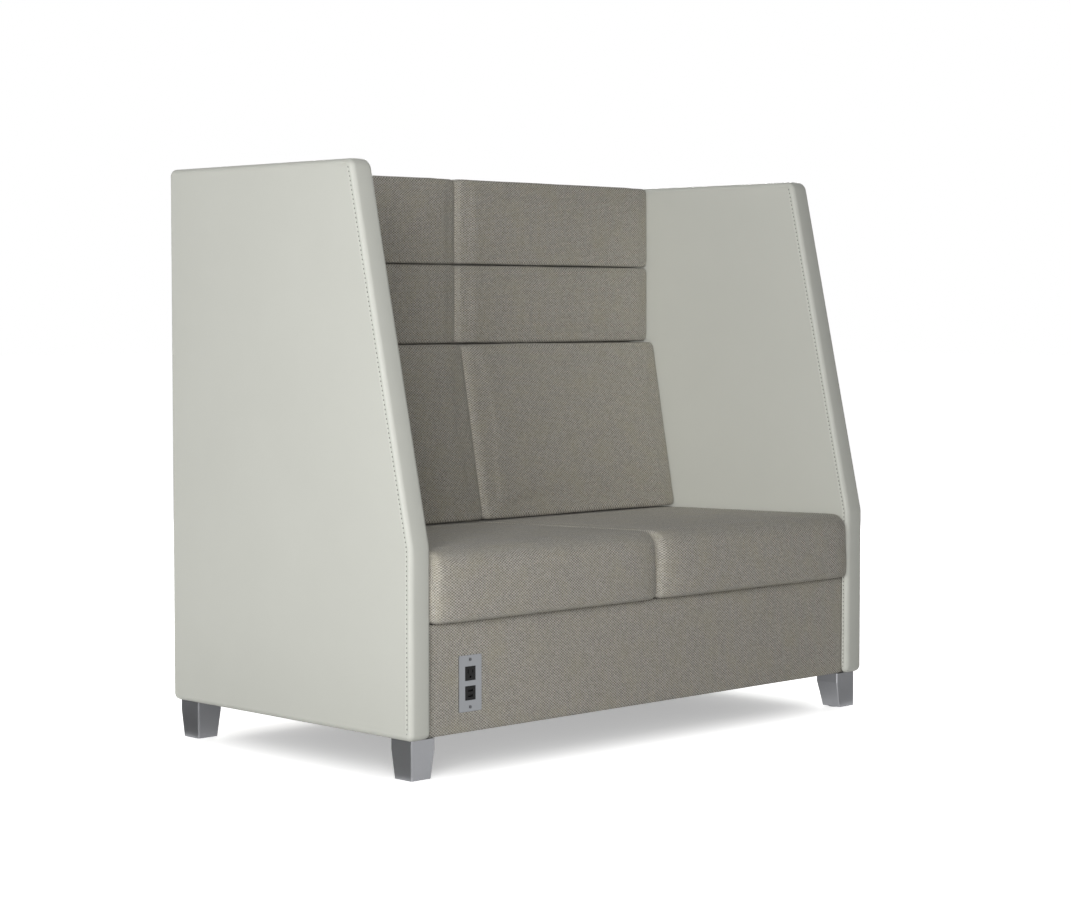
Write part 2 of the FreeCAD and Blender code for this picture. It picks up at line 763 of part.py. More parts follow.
def seat_envelope(name, inset):
    """Makes a seat cushion's form, drawn in by an inset on every side."""
    front = f"seat_front + ({inset})"
    rear = f"seat_rear - ({inset})"
    bottom = f"seat_bottom + ({inset})"
    outline = [(front, bottom), (rear, bottom), (rear, f"seat_rear_top - ({inset})"),
               (front, f"seat_front_top - ({inset})")]
    x = (f"seat_inner + ({inset})", f"seat_outer - ({inset})")
    body = prism(name, x, outline)

    def is_nose(edge, whole):
        front_edge = same(edge.YMin, whole.YMin)
        return runs_across(edge) and front_edge and same(edge.ZMin, whole.ZMax)

    def is_other_corner(edge, whole):
        low = same(edge.ZMin, whole.ZMin)
        return runs_across(edge) and (low or same(edge.YMin, whole.YMax))

    round_edges(body, f"seat_nose_radius - ({inset})", is_nose)
    round_edges(body, f"seat_lip_radius - ({inset})", is_other_corner)
    round_edges(body, f"seat_end_radius - ({inset})", at_an_end)
    return body


seat_outer_form = seat_envelope("seat_outer_form", "0")
seat_inner_form = seat_envelope("seat_inner_form", "cover_thickness")
zip_middle = "(seat_bottom + seat_rear_top) / 2"
seat_zip = box("seat_zip", ("seat_inner + zip_margin", "seat_outer - zip_margin"),
               ("seat_rear - cover_thickness", "seat_rear"),
               (f"{zip_middle} - zip_height / 2", f"{zip_middle} + zip_height / 2"))
seat_skin = cut("seat_skin", seat_outer_form, seat_inner_form)
keep_pair(cut("seat_cover", seat_skin, seat_zip), "seat_cover")
keep_pair(seat_inner_form, "seat_foam")
keep_pair(seat_zip, "seat_zip")

# Seat suspension: sinuous wire springs from rail to rail, clips, deck cloth and hook strips

SPRING_FRONT = "rail_front + rail_thickness / 2"
SPRING_REAR = "rear_rail_front + rail_thickness / 2"
wing_front = size("seat_overhang") - size("overall_depth") / 2
first_run = wing_front + size("apron_setback") + size("apron_padding") + size("rail_thickness") / 2
back_front = (size("overall_depth") / 2 - size("back_inset") - size("cover_thickness")
              - size("back_foam") - size("back_board"))
last_run = back_front - size("rail_thickness") / 2
run_count = 1 + round((last_run - first_run) / size("spring_pitch"))
run_step = (last_run - first_run) / (run_count - 1)
wire_height = size("deck_height") + size("clip_height") / 2
wire_radius = size("spring_wire_radius")
spring_columns = [side * (step + 0.5) * size("spring_spacing")
                  for side in (-1, 1) for step in range(int(size("springs_per_seat")))]


def sinuous_spring(x):
    """Bends one wire from straight runs joined by half turns, from rail to rail."""
    reach = size("spring_run") / 2
    path = []
    for run in range(run_count):
        side = 1 if run % 2 == 0 else -1
        y = first_run + run * run_step
        start = Vector(x - side * reach, y, wire_height)
        end = Vector(x + side * reach, y, wire_height)
        path.append(Part.LineSegment(start, end).toShape())
        if run < run_count - 1:
            turn = Vector(end.x + side * run_step / 2, y + run_step / 2, wire_height)
            path.append(Part.Arc(end, turn, end + Vector(0, run_step, 0)).toShape())
    across = Vector(1, 0, 0)
    ring = Part.Wire(Part.makeCircle(wire_radius, path[0].Vertexes[0].Point, across))
    return Part.Wire(path).makePipeShell([ring], True, False)


springs = doc.addObject("Part::Feature", "springs")
springs.Shape = Part.makeCompound([sinuous_spring(x) for x in spring_columns])
keep(springs, "seat_springs")


def spring_clip(name, x, y):
    """Makes a clip on a rail, bored for the end run of a spring."""
    block = box(f"{name}_block", (f"{x} - clip_width / 2", f"{x} + clip_width / 2"),
                (f"{y} - clip_depth / 2", f"{y} + clip_depth / 2"), ("deck_height", "clip_top"))
    bore = rod(f"{name}_bore", (f"{x} - clip_width", y, "spring_height"), "+x",
               "spring_wire_radius", "2 * clip_width")
    return cut(name, block, bore)


right_clips = [spring_clip(f"clip_{end}_{step}", f"{step + 0.5} * spring_spacing", y)
               for end, y in enumerate((SPRING_FRONT, SPRING_REAR))
               for step in range(int(size("springs_per_seat")))]
keep(both_sides("clip_group", right_clips), "spring_clips")

deck_span = ("-(wing_inner) + running_gap", "wing_inner - running_gap")
keep(box("deck_sheet", deck_span, ("rail_front", "back_front"), ("clip_top", "deck_top")),
     "deck_cloth")
hook_rise = ("deck_top", "deck_top + hook_strip_thickness")
keep(both_sides("hook_group", [
    box(f"hook_strip_{index}", ("seat_inner + hook_strip_margin", "seat_outer - hook_strip_margin"),
        (y, f"{y} + hook_strip_width"), hook_rise)
    for index, y in enumerate(("seat_front + hook_strip_setback",
                               "seat_rear - hook_strip_setback - hook_strip_width"))]),
     "hook_strips")

# Legs: a cast shell with a straight collar, tapered on its inner and rear faces only


def leg(name, front):
    """Makes a right-hand leg, its front face at a given Y."""
    body = doc.addObject("PartDesign::Body", name)
    shoulder = "leg_height - leg_collar"
    outer = ("leg_outer - leg_width", "leg_outer")
    depth = (front, f"{front} + leg_width")
    top = sketch_on(body, f"{name}_shoulder", "XY_Plane", shoulder)
    draw_outline(top, rectangle(outer, depth))
    foot = sketch_on(body, f"{name}_foot", "XY_Plane", "leg_bottom")
    draw_outline(foot, rectangle(("leg_outer - leg_foot", "leg_outer"),
                                 (front, f"{front} + leg_foot")))
    taper = body.newObject("PartDesign::AdditiveLoft", f"{name}_taper")
    taper.Profile = foot
    taper.Sections = [top]
    collar = body.newObject("PartDesign::Pad", f"{name}_collar")
    collar.Profile = top
    bind(collar, Length="leg_collar")
    doc.recompute()

    def is_upright(edge, whole):
        return edge.ZLength > SHORT_EDGE

    round_edges(body, "leg_edge_radius", is_upright)

    middle = ("leg_x", f"{front} + leg_width / 2")
    mouth = sketch_on(body, f"{name}_mouth", "XY_Plane", "leg_height")
    draw_outline(mouth, rectangle((f"{outer[0]} + leg_wall", f"{outer[1]} - leg_wall"),
                                  (f"{depth[0]} + leg_wall", f"{depth[1]} - leg_wall")))
    draw_circle(mouth, *middle, "leg_boss_radius")
    cavity = body.newObject("PartDesign::Pocket", f"{name}_cavity")
    cavity.Profile = mouth
    bind(cavity, Length="leg_cavity")

    stud_hole = sketch_on(body, f"{name}_stud_circle", "XY_Plane", "leg_height")
    draw_circle(stud_hole, *middle, "leg_stud_radius")
    bore = body.newObject("PartDesign::Pocket", f"{name}_stud_bore")
    bore.Profile = stud_hole
    bind(bore, Length="leg_stud_depth")

    glide_hole = sketch_on(body, f"{name}_glide_circle", "XY_Plane", "leg_bottom")
    draw_circle(glide_hole, *middle, "glide_stud_radius + glide_gap")
    thread = body.newObject("PartDesign::Pocket", f"{name}_glide_bore")
    thread.Profile = glide_hole
    thread.Reversed = True
    bind(thread, Length="glide_hole_depth")
    doc.recompute()
    return body


right_studs = []
right_plates = []
for end, (front, middle) in LEG_ROWS.items():
    stud = rod(f"{end}_stud", ("leg_x", middle, "leg_height - leg_stud_depth"), "+z",
               "leg_stud_radius", "leg_stud_length")
    right_studs.append(stud)

    plate = box(f"{end}_plate_blank", ("plate_inner", "plate_outer"),
                (f"{middle} - leg_plate_depth / 2", f"{middle} + leg_plate_depth / 2"),
                ("leg_height", "frame_bottom"))
    nut = doc.addObject("Part::Prism", f"{end}_weld_nut")
    nut.Polygon = NUT_SIDES
    bind(nut, Circumradius="weld_nut_radius", Height="weld_nut_height")
    place(nut, "leg_x", middle, "frame_bottom")
    welded = fuse(f"{end}_plate_welded", plate, nut)
    tapped = cut(f"{end}_plate_tapped", welded, stud)
    right_plates.append(cut(f"{end}_plate", tapped, right_plate_screws))

    right_leg = leg(f"{end}_leg_body", front)
    keep(mirrored(f"{end}_leg_mirrored", right_leg), f"{end}_left_leg")
    keep(right_leg, f"{end}_right_leg")

    pad = rod(f"{end}_glide_pad", ("leg_x", middle, "0"), "+z", "glide_radius", "glide_thickness")
    thread = rod(f"{end}_glide_thread", ("leg_x", middle, "glide_thickness"), "+z",
                 "glide_stud_radius", "glide_stud_length")
    glide = fuse(f"{end}_glide_body", pad, thread)
    keep(mirrored(f"{end}_glide_mirrored", glide), f"{end}_left_glide")
    keep(glide, f"{end}_right_glide")

keep(both_sides("leg_plate_group", right_plates), "leg_plates")
keep(both_sides("leg_stud_group", right_studs), "leg_studs")
keep(plate_screws, "leg_plate_screws")

# Power unit: plate, outlet, charger, box with ears, gland and two screws

MODULES = {"outlet": "power_height + power_module_pitch / 2",
           "charger": "power_height - power_module_pitch / 2"}


def module_block(name, height, y, slack):
    """Makes a block in the place of one power module, wider by a slack all round."""
    wide = (f"{power_left} - power_module_width / 2 - ({slack})",
            f"{power_left} + power_module_width / 2 + ({slack})")
    tall = (f"{height} - power_module_height / 2 - ({slack})",
            f"{height} + power_module_height / 2 + ({slack})")
    return box(name, wide, y, tall)


module_front = "power_plate_front - power_module_proud"
module_span = (module_front, f"{module_front} + power_module_depth")
flange_span = ("apron_front", "apron_front + power_flange_thickness")


def module_body(name, height):
    """Makes one module's block with the flange that bears on the back of the plate."""
    block = module_block(f"{name}_block", height, module_span, "0")
    flange = module_block(f"{name}_flange", height, flange_span, "power_flange")
    return fuse(f"{name}_blank", block, flange)


plate_blank = power_block("power_plate_blank", "power_plate_width", ("power_plate_front", "apron_front"),
                          "power_plate_height")
doc.recompute()
plate_form = doc.addObject("Part::Fillet", "power_plate_form")
plate_form.Base = plate_blank
PLATE_RADIUS = size("power_plate_radius")
plate_form.Edges = [(index, PLATE_RADIUS, PLATE_RADIUS)
                    for index, edge in enumerate(plate_blank.Shape.Edges, start=1)
                    if edge.BoundBox.YLength > SHORT_EDGE]
plate_windows = group("plate_windows", [
    module_block(f"{name}_window", height,
                 ("power_plate_front - tool_overrun", "apron_front + tool_overrun"),
                 "power_module_slack")
    for name, height in MODULES.items()])
plate_pierced = cut("power_plate_pierced", plate_form, plate_windows)
keep(cut("power_plate_drilled", plate_pierced, power_screws), "power_plate")
keep(power_screws, "power_screws")

OUTLET = MODULES["outlet"]
SLOT_DEPTH = (f"{module_front} - tool_overrun", f"{module_front} + outlet_slot_depth")


def outlet_slot(name, across, tall):
    """Makes the space of one upright blade slot in the outlet's face."""
    x = (f"{power_left} {across} - outlet_blade_width / 2",
         f"{power_left} {across} + outlet_blade_width / 2")
    centre = f"{OUTLET} + outlet_blade_rise"
    z = (f"{centre} - {tall} / 2", f"{centre} + {tall} / 2")
    return box(name, x, SLOT_DEPTH, z)


outlet_blank = module_body("outlet", OUTLET)
outlet_holes = group("outlet_holes", [
    outlet_slot("neutral_slot", "- outlet_blade_offset", "outlet_neutral_height"),
    outlet_slot("live_slot", "+ outlet_blade_offset", "outlet_live_height"),
    rod("earth_hole", (power_left, SLOT_DEPTH[0], f"{OUTLET} - outlet_earth_drop"), "+y",
        "outlet_earth_radius", "outlet_slot_depth + tool_overrun")])
keep(cut("outlet_cut", outlet_blank, outlet_holes), "power_outlet")

CHARGER = MODULES["charger"]


def charger_port(name, up, wide, tall, y):
    """Makes a flat block in the charger's face, a port's space or the tongue in it."""
    x = (f"{power_left} - {wide} / 2", f"{power_left} + {wide} / 2")
    return box(name, x, y, (f"{CHARGER} + {up} - {tall} / 2", f"{CHARGER} + {up} + {tall} / 2"))


charger_blank = module_body("charger", CHARGER)
PORT_HEIGHTS = ("port_offset", "-(port_offset)")
ports = group("charger_ports", [
    charger_port(f"port_{index}", up, "port_width", "port_height", SLOT_DEPTH)
    for index, up in enumerate(PORT_HEIGHTS)])
tongue_span = (f"{module_front} + tongue_setback", SLOT_DEPTH[1])
tongues = [charger_port(f"tongue_{index}", f"{up} + tongue_rise", "tongue_width", "tongue_height",
                        tongue_span)
           for index, up in enumerate(PORT_HEIGHTS)]
keep(fuse("charger_form", cut("charger_cut", charger_blank, ports), *tongues), "power_charger")

ear_back = "apron_front + power_box_wall"
box_shell = power_block("power_box_outside", "power_box_width",
                        ("apron_front", "apron_front + power_box_depth"), "power_box_height")
box_room = power_block("power_box_inside", "power_box_width - 2 * power_box_wall",
                       ("apron_front - tool_overrun", "apron_front + power_box_depth - power_box_wall"),
                       "power_box_height - 2 * power_box_wall")
ears = power_block("power_box_ears", "power_box_width / 2", ("apron_front", ear_back),
                   "power_screw_pitch + 2 * power_ear_reach")
gland_start = "apron_front + power_box_depth"
barrel_start = (power_left, f"{gland_start} - gland_grip", "power_height")
gland_barrel = rod("gland_barrel", barrel_start, "+y", "gland_radius", "gland_length")
box_body = cut("power_box_hollow", fuse("power_box_eared", box_shell, ears), box_room)
box_bored = cut("power_box_bored", box_body, gland_barrel)
keep(cut("power_box_drilled", box_bored, power_screws), "power_box")

gland_collar = rod("gland_collar", (power_left, gland_start, "power_height"), "+y",
                   "gland_collar_radius", "gland_collar_length")
gland_bore = rod("gland_bore", barrel_start, "+y", "gland_bore_radius", "gland_length")
keep(cut("gland_form", fuse("gland_body", gland_barrel, gland_collar), gland_bore), "cable_gland")

# Check every object, then write the pieces

doc.recompute()
faults = [f"{item.Name}: {item.State}" for item in doc.Objects
          if "Invalid" in item.State or "Error" in item.State]
faults += [f"{item.Label}: empty or broken shape" for item in pieces
           if item.Shape.isNull() or not item.Shape.isValid() or not item.Shape.Solids]
if faults:
    raise RuntimeError("\n".join(faults))

os.makedirs("parts", exist_ok=True)
for item in pieces:
    item.Shape.exportStep(f"parts/{item.Label}.step")
    volume = item.Shape.Volume / 1000
    print(f"{item.Label}: {len(item.Shape.Solids)} solids, {volume:.1f} cm3")
print(f"{len(pieces)} pieces")
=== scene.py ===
"""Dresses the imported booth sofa: vinyl wings, tweed cushions, cast legs and a power plate."""

import functools
import json
import logging
import math
from dataclasses import dataclass
from enum import Enum
from typing import ClassVar

import bmesh
import bpy
import numpy as np
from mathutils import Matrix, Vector, noise

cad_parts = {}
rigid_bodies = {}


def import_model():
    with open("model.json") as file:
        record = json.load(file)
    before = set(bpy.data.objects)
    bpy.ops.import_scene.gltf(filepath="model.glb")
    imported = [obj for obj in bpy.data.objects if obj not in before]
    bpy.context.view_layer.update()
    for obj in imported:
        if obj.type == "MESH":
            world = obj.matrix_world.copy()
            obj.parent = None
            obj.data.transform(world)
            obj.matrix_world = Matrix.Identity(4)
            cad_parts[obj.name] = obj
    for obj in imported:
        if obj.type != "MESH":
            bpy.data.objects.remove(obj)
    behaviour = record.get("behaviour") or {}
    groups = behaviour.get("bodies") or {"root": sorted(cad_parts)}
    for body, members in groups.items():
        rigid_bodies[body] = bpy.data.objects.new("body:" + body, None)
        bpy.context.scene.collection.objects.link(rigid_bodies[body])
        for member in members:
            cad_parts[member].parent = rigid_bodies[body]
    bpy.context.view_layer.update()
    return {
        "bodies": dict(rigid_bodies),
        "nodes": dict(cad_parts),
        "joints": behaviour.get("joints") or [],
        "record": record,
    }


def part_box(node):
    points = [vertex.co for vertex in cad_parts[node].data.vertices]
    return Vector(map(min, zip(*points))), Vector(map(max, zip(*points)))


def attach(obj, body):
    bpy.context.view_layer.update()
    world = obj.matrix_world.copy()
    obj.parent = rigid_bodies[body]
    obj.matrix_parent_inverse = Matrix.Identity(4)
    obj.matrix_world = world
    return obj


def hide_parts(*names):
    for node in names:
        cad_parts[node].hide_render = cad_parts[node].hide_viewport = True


log = logging.getLogger("booth_sofa")

MM = 0.001
WEAVE_MAP = "weave"
SEAM_SHADE = "seam_shade"
FRAME_BODY = "frame"
# Points measured at one time
BLOCK = 4000
# Points closer than this, in metres, are one
MERGE = 1e-5


class Side(Enum):
    """The two halves of the sofa, by the sign of x."""

    LEFT = -1
    RIGHT = 1

    @property
    def label(self) -> str:
        """The side's name as the nodes spell it."""
        return self.name.lower()


class Form(Enum):
    """The small forms that repeat along a path."""

    STITCH = "stitch"
    BAR = "bar"


def linear(colour: str) -> tuple[float, float, float, float]:
    """Turns an sRGB hex colour into linear values.

    Args:
        colour: six hex digits.

    Returns:
        Linear red, green and blue, with full alpha.
    """
    shares = [int(colour[start:start + 2], 16) / 255 for start in (0, 2, 4)]
    values = [s / 12.92 if s <= 0.04045 else ((s + 0.055) / 1.055) ** 2.4 for s in shares]
    return (*values, 1.0)


def add(tree: bpy.types.NodeTree, kind: str, inputs: dict | None = None, **settings) -> bpy.types.Node:
    """Adds one node to a tree.

    Args:
        tree: the tree that gets the node.
        kind: the node's type name.
        inputs: a socket to link, or a constant to set, by input name or number.
        **settings: the node's own properties.

    Returns:
        The new node.
    """
    node = tree.nodes.new(kind)
    for name, value in settings.items():
        setattr(node, name, value)
    for key, value in (inputs or {}).items():
        if isinstance(value, bpy.types.NodeSocket):
            tree.links.new(value, node.inputs[key])
        else:
            node.inputs[key].default_value = value
    return node


def set_ramp(node: bpy.types.Node, stops: list[tuple[float, str]]) -> None:
    """Gives a colour ramp its stops.

    Args:
        node: the ramp node.
        stops: places from 0 to 1, each with a hex colour.
    """
    elements = node.color_ramp.elements
    while len(elements) < len(stops):
        elements.new(1.0)
    for element, (place, colour) in zip(elements, stops):
        element.position = place
        element.color = linear(colour)


# Finishes


@dataclass(frozen=True)
class Finish:
    """A real material, with the values that are the same all over its surface."""

    name: str
    colour: str
    roughness: float
    metallic: float = 0.0

    @functools.cache
    def material(self) -> bpy.types.Material:
        """Builds the material once, and returns that one from then on."""
        made = bpy.data.materials.new(self.name)
        made.use_nodes = True
        shader = made.node_tree.nodes["Principled BSDF"]
        shader.inputs["Base Color"].default_value = linear(self.colour)
        shader.inputs["Roughness"].default_value = self.roughness
        shader.inputs["Metallic"].default_value = self.metallic
        self.texture(made.node_tree, shader)
        return made

    def texture(self, tree: bpy.types.NodeTree, shader: bpy.types.Node) -> None:
        """Adds the pattern of this finish; each kind has its own."""
        raise NotImplementedError

    @staticmethod
    def relief(tree: bpy.types.NodeTree, shader: bpy.types.Node, height: bpy.types.NodeSocket,
               depth: float, strength: float) -> None:
        """Turns a height into shading.

        Args:
            tree: the material's tree.
            shader: the surface shader.
            height: the height from 0 to 1.
            depth: the real depth of the relief in millimetres.
            strength: how much of it shows.
        """
        bump = add(tree, "ShaderNodeBump", {"Height": height, "Distance": depth * MM,
                                            "Strength": strength})
        tree.links.new(bump.outputs["Normal"], shader.inputs["Normal"])


@dataclass(frozen=True)
class CoatedVinyl(Finish):
    """Vinyl on a knit backing, embossed with a fine grain: soft sheen, faint pebbles, and seams darkened
    by painted shade.
    """

    grain: float = 2.2
    cloud: float = 160.0
    cloud_colour: str = "cbccc4"
    gloss_spread: float = 0.05
    seam_colour: str = "8f8f88"

    def texture(self, tree: bpy.types.NodeTree, shader: bpy.types.Node) -> None:
        """Draws clouded colour, painted shade along the seams and the embossed grain."""
        place = add(tree, "ShaderNodeTexCoord").outputs["Object"]
        clouds = add(tree, "ShaderNodeTexNoise", {"Vector": place, "Scale": 1 / (self.cloud * MM),
                                                  "Detail": 3.0})
        tone = add(tree, "ShaderNodeMix", {0: clouds.outputs["Fac"], 6: linear(self.colour),
                                           7: linear(self.cloud_colour)}, data_type="RGBA")
        # Painted shade: the seam points are darkened by the stored seam shade, standing in for the shade
        # that falls in their grooves
        painted_seam_shade = add(tree, "ShaderNodeAttribute", attribute_name=SEAM_SHADE)
        shaded = add(tree, "ShaderNodeMix", {0: painted_seam_shade.outputs["Fac"], 6: tone.outputs[2],
                                             7: linear(self.seam_colour)}, data_type="RGBA")
        tree.links.new(shaded.outputs[2], shader.inputs["Base Color"])
        # The real grain is about 0.8 mm; it is drawn nearly three times as coarse so that it shows
        pebbles = add(tree, "ShaderNodeTexVoronoi", {"Vector": place,
                                                     "Scale": 1 / (self.grain * MM)},
                      feature="SMOOTH_F1")
        spread = add(tree, "ShaderNodeMapRange", {"Value": clouds.outputs["Fac"],
                                                  "To Min": self.roughness - self.gloss_spread,
                                                  "To Max": self.roughness + self.gloss_spread})
        tree.links.new(spread.outputs["Result"], shader.inputs["Roughness"])
        shader.inputs["Specular IOR Level"].default_value = 0.35
        self.relief(tree, shader, pebbles.outputs["Distance"], depth=0.25, strength=0.25)


@dataclass(frozen=True)
class Tweed(Finish):
    """Wool blend tweed in a basket weave of beige and grey-brown yarn: matt, flecked, slightly hairy."""

    warp_width: float = 4.1
    weft_width: float = 2.9
    warp: str = "cdc9bf"
    weft: str = "7b766f"
    # Dark flecks in the yarn; this colour is also the painted shade along the seams
    fleck_dark: str = "78746a"
    fleck_light: str = "cecabf"
    patch: str = "b0a98f"
    patch_size: float = 55.0
    fleck_share: float = 0.3
    patch_share: float = 0.3
    yarn_bend: float = 0.2

    def texture(self, tree: bpy.types.NodeTree, shader: bpy.types.Node) -> None:
        """Draws crossing yarns, flecks in single yarns, soft patches, painted shade along the seams and
        the relief of the weave.
        """
        cut = add(tree, "ShaderNodeUVMap", uv_map=WEAVE_MAP).outputs["UV"]
        # The yarn is about 1.5 mm; it is drawn two to three times as coarse so that the weave shows
        widths = (1 / (self.warp_width * MM), 1 / (self.weft_width * MM), 0.0)
        thread = add(tree, "ShaderNodeVectorMath", {0: cut, 1: widths},
                     operation="MULTIPLY").outputs["Vector"]
        waver = add(tree, "ShaderNodeTexNoise", {"Vector": thread, "Scale": 0.35, "Detail": 1.0})
        bent = add(tree, "ShaderNodeVectorMath",
                   {0: waver.outputs["Color"], 1: (self.yarn_bend,) * 3, 2: thread},
                   operation="MULTIPLY_ADD").outputs["Vector"]
        over = add(tree, "ShaderNodeTexChecker", {"Vector": bent, "Scale": 1.0}).outputs["Fac"]
        cell = add(tree, "ShaderNodeVectorMath", {0: bent}, operation="FLOOR").outputs["Vector"]
        chance = add(tree, "ShaderNodeTexWhiteNoise", {"Vector": cell}, noise_dimensions="2D")
        yarn = add(tree, "ShaderNodeMix", {0: over, 6: linear(self.weft), 7: linear(self.warp)},
                   data_type="RGBA").outputs[2]
        flecks = add(tree, "ShaderNodeValToRGB", {"Fac": chance.outputs["Value"]})
        set_ramp(flecks, [(0.0, self.fleck_dark), (0.5, self.colour), (1.0, self.fleck_light)])
        mixed = add(tree, "ShaderNodeMix",
                    {0: self.fleck_share, 6: yarn, 7: flecks.outputs["Color"]},
                    data_type="RGBA").outputs[2]
        spread = add(tree, "ShaderNodeTexNoise", {"Vector": cut, "Scale": 1 / (self.patch_size * MM),
                                                  "Detail": 2.0}).outputs["Fac"]
        share = add(tree, "ShaderNodeMapRange", {"Value": spread, "From Min": 0.42, "From Max": 0.75,
                                                 "To Max": self.patch_share}).outputs["Result"]
        patched = add(tree, "ShaderNodeMix", {0: share, 6: mixed, 7: linear(self.patch)},
                      data_type="RGBA").outputs[2]
        # Painted shade: the seam points are darkened towards the dark fleck colour, standing in for the
        # shade in their grooves
        painted_seam_shade = add(tree, "ShaderNodeAttribute", attribute_name=SEAM_SHADE).outputs["Fac"]
        shaded = add(tree, "ShaderNodeMix", {0: painted_seam_shade, 6: patched, 7: linear(self.fleck_dark)},
                     data_type="RGBA").outputs[2]
        tree.links.new(shaded, shader.inputs["Base Color"])
        shader.inputs["Sheen Weight"].default_value = 0.18
        shader.inputs["Sheen Roughness"].default_value = 0.6
        shader.inputs["Specular IOR Level"].default_value = 0.2
        turns = add(tree, "ShaderNodeVectorMath", {0: bent, 1: (math.tau,) * 3}, operation="MULTIPLY")
        ridges = add(tree, "ShaderNodeSeparateXYZ", {0: add(
            tree, "ShaderNodeVectorMath", {0: turns.outputs["Vector"]}, operation="COSINE"
        ).outputs["Vector"]})
        height = add(tree, "ShaderNodeMix", {0: over, 2: ridges.outputs["X"], 3: ridges.outputs["Y"]},
                     data_type="FLOAT").outputs[0]
        self.relief(tree, shader, height, depth=0.35, strength=0.5)


@dataclass(frozen=True)
class SatinMetal(Finish):
    """Metal with a fine satin surface: broad soft reflections and a slight unevenness."""

    metallic: float = 1.0
    wear: float = 14.0
    stretch: tuple[float, float, float] = (1.0, 1.0, 1.0)
    depth: float = 0.02
    gloss_spread: float = 0.08

    def texture(self, tree: bpy.types.NodeTree, shader: bpy.types.Node) -> None:
        """Draws uneven gloss and a shallow relief, drawn out along one axis where it is brushed."""
        place = add(tree, "ShaderNodeTexCoord").outputs["Object"]
        drawn = add(tree, "ShaderNodeMapping", {"Vector": place, "Scale": self.stretch}).outputs["Vector"]
        grain = add(tree, "ShaderNodeTexNoise", {"Vector": drawn, "Scale": 1 / (self.wear * MM),
                                                 "Detail": 6.0, "Roughness": 0.65}).outputs["Fac"]
        gloss = add(tree, "ShaderNodeMapRange", {
            "Value": grain, "To Min": self.roughness - self.gloss_spread,
            "To Max": self.roughness + self.gloss_spread}).outputs["Result"]
        tree.links.new(gloss, shader.inputs["Roughness"])
        self.relief(tree, shader, grain, depth=self.depth, strength=0.3)


@dataclass(frozen=True)
class MouldedPlastic(Finish):
    """Moulded polymer with a spark-eroded texture: dark, even, with a low broad highlight."""

    grit: float = 0.9
    shine: float = 0.5
    gloss_spread: float = 0.06

    def texture(self, tree: bpy.types.NodeTree, shader: bpy.types.Node) -> None:
        """Draws the fine texture of the mould."""
        place = add(tree, "ShaderNodeTexCoord").outputs["Object"]
        grit = add(tree, "ShaderNodeTexNoise", {"Vector": place, "Scale": 1 / (self.grit * MM),
                                                "Detail": 2.0}).outputs["Fac"]
        gloss = add(tree, "ShaderNodeMapRange", {
            "Value": grit, "To Min": self.roughness - self.gloss_spread,
            "To Max": self.roughness + self.gloss_spread}).outputs["Result"]
        tree.links.new(gloss, shader.inputs["Roughness"])
        shader.inputs["Specular IOR Level"].default_value = self.shine
        self.relief(tree, shader, grit, depth=0.05, strength=0.3)


@dataclass(frozen=True)
class SawnPly(Finish):
    """Birch plywood, sanded and bare: pale, with long grain and thin darker glue lines."""

    grain: float = 9.0
    dark: str = "a8855c"
    stretch: tuple[float, float, float] = (0.06, 1.0, 1.0)

    def texture(self, tree: bpy.types.NodeTree, shader: bpy.types.Node) -> None:
        """Draws long grain along x."""
        place = add(tree, "ShaderNodeTexCoord").outputs["Object"]
        drawn = add(tree, "ShaderNodeMapping", {"Vector": place, "Scale": self.stretch}).outputs["Vector"]
        grain = add(tree, "ShaderNodeTexNoise", {"Vector": drawn, "Scale": 1 / (self.grain * MM),
                                                 "Detail": 5.0, "Distortion": 0.6}).outputs["Fac"]
        tone = add(tree, "ShaderNodeMix", {0: grain, 6: linear(self.colour), 7: linear(self.dark)},
                   data_type="RGBA").outputs[2]
        tree.links.new(tone, shader.inputs["Base Color"])
        self.relief(tree, shader, grain, depth=0.1, strength=0.3)


@dataclass(frozen=True)
class FeltedCloth(Finish):
    """Bonded or knitted backing cloth: matt, with a fine pressed pattern of points."""

    point: float = 3.0
    light: str = "3a3a3a"

    def texture(self, tree: bpy.types.NodeTree, shader: bpy.types.Node) -> None:
        """Draws pressed points and loose fibre."""
        place = add(tree, "ShaderNodeTexCoord").outputs["Object"]
        points = add(tree, "ShaderNodeTexVoronoi", {"Vector": place, "Scale": 1 / (self.point * MM),
                                                    "Randomness": 0.25}).outputs["Distance"]
        fibre = add(tree, "ShaderNodeTexNoise", {"Vector": place, "Scale": 1 / (self.point * MM),
                                                 "Detail": 4.0}).outputs["Fac"]
        tone = add(tree, "ShaderNodeMix", {0: fibre, 6: linear(self.colour), 7: linear(self.light)},
                   data_type="RGBA").outputs[2]
        tree.links.new(tone, shader.inputs["Base Color"])
        self.relief(tree, shader, points, depth=0.3, strength=0.5)


# Calendered and embossed: a pale grey-green with a soft sheen
VINYL = CoatedVinyl("coated_vinyl", "cfd0c8", 0.5)
# Woven: a dotted taupe that turns lighter where it faces the light
TWEED = Tweed("tweed_basket_weave", "a6a298", 0.9)
# Cast and tumbled: mid grey faces, each of one tone
CAST_LEG = SatinMetal("cast_aluminium_satin", "8f9093", 0.4)
# Brushed upright: a light grey with faint upright streaks
BRUSHED_PLATE = SatinMetal("brushed_stainless", "898b8e", 0.34, wear=6.0, stretch=(1.0, 1.0, 0.05))
# Passivated: small heads darker than the plate
SCREW_STEEL = SatinMetal("passivated_steel_dark", "5c5d5f", 0.4)
# Plated: a cool grey on bolts, springs, clips and staples
ZINC = SatinMetal("zinc_plated_steel", "a4a49f", 0.38)
# Moulded: near black, with little shine
BLACK_MODULE = MouldedPlastic("polycarbonate_black", "0d0d0d", 0.45, shine=0.2)
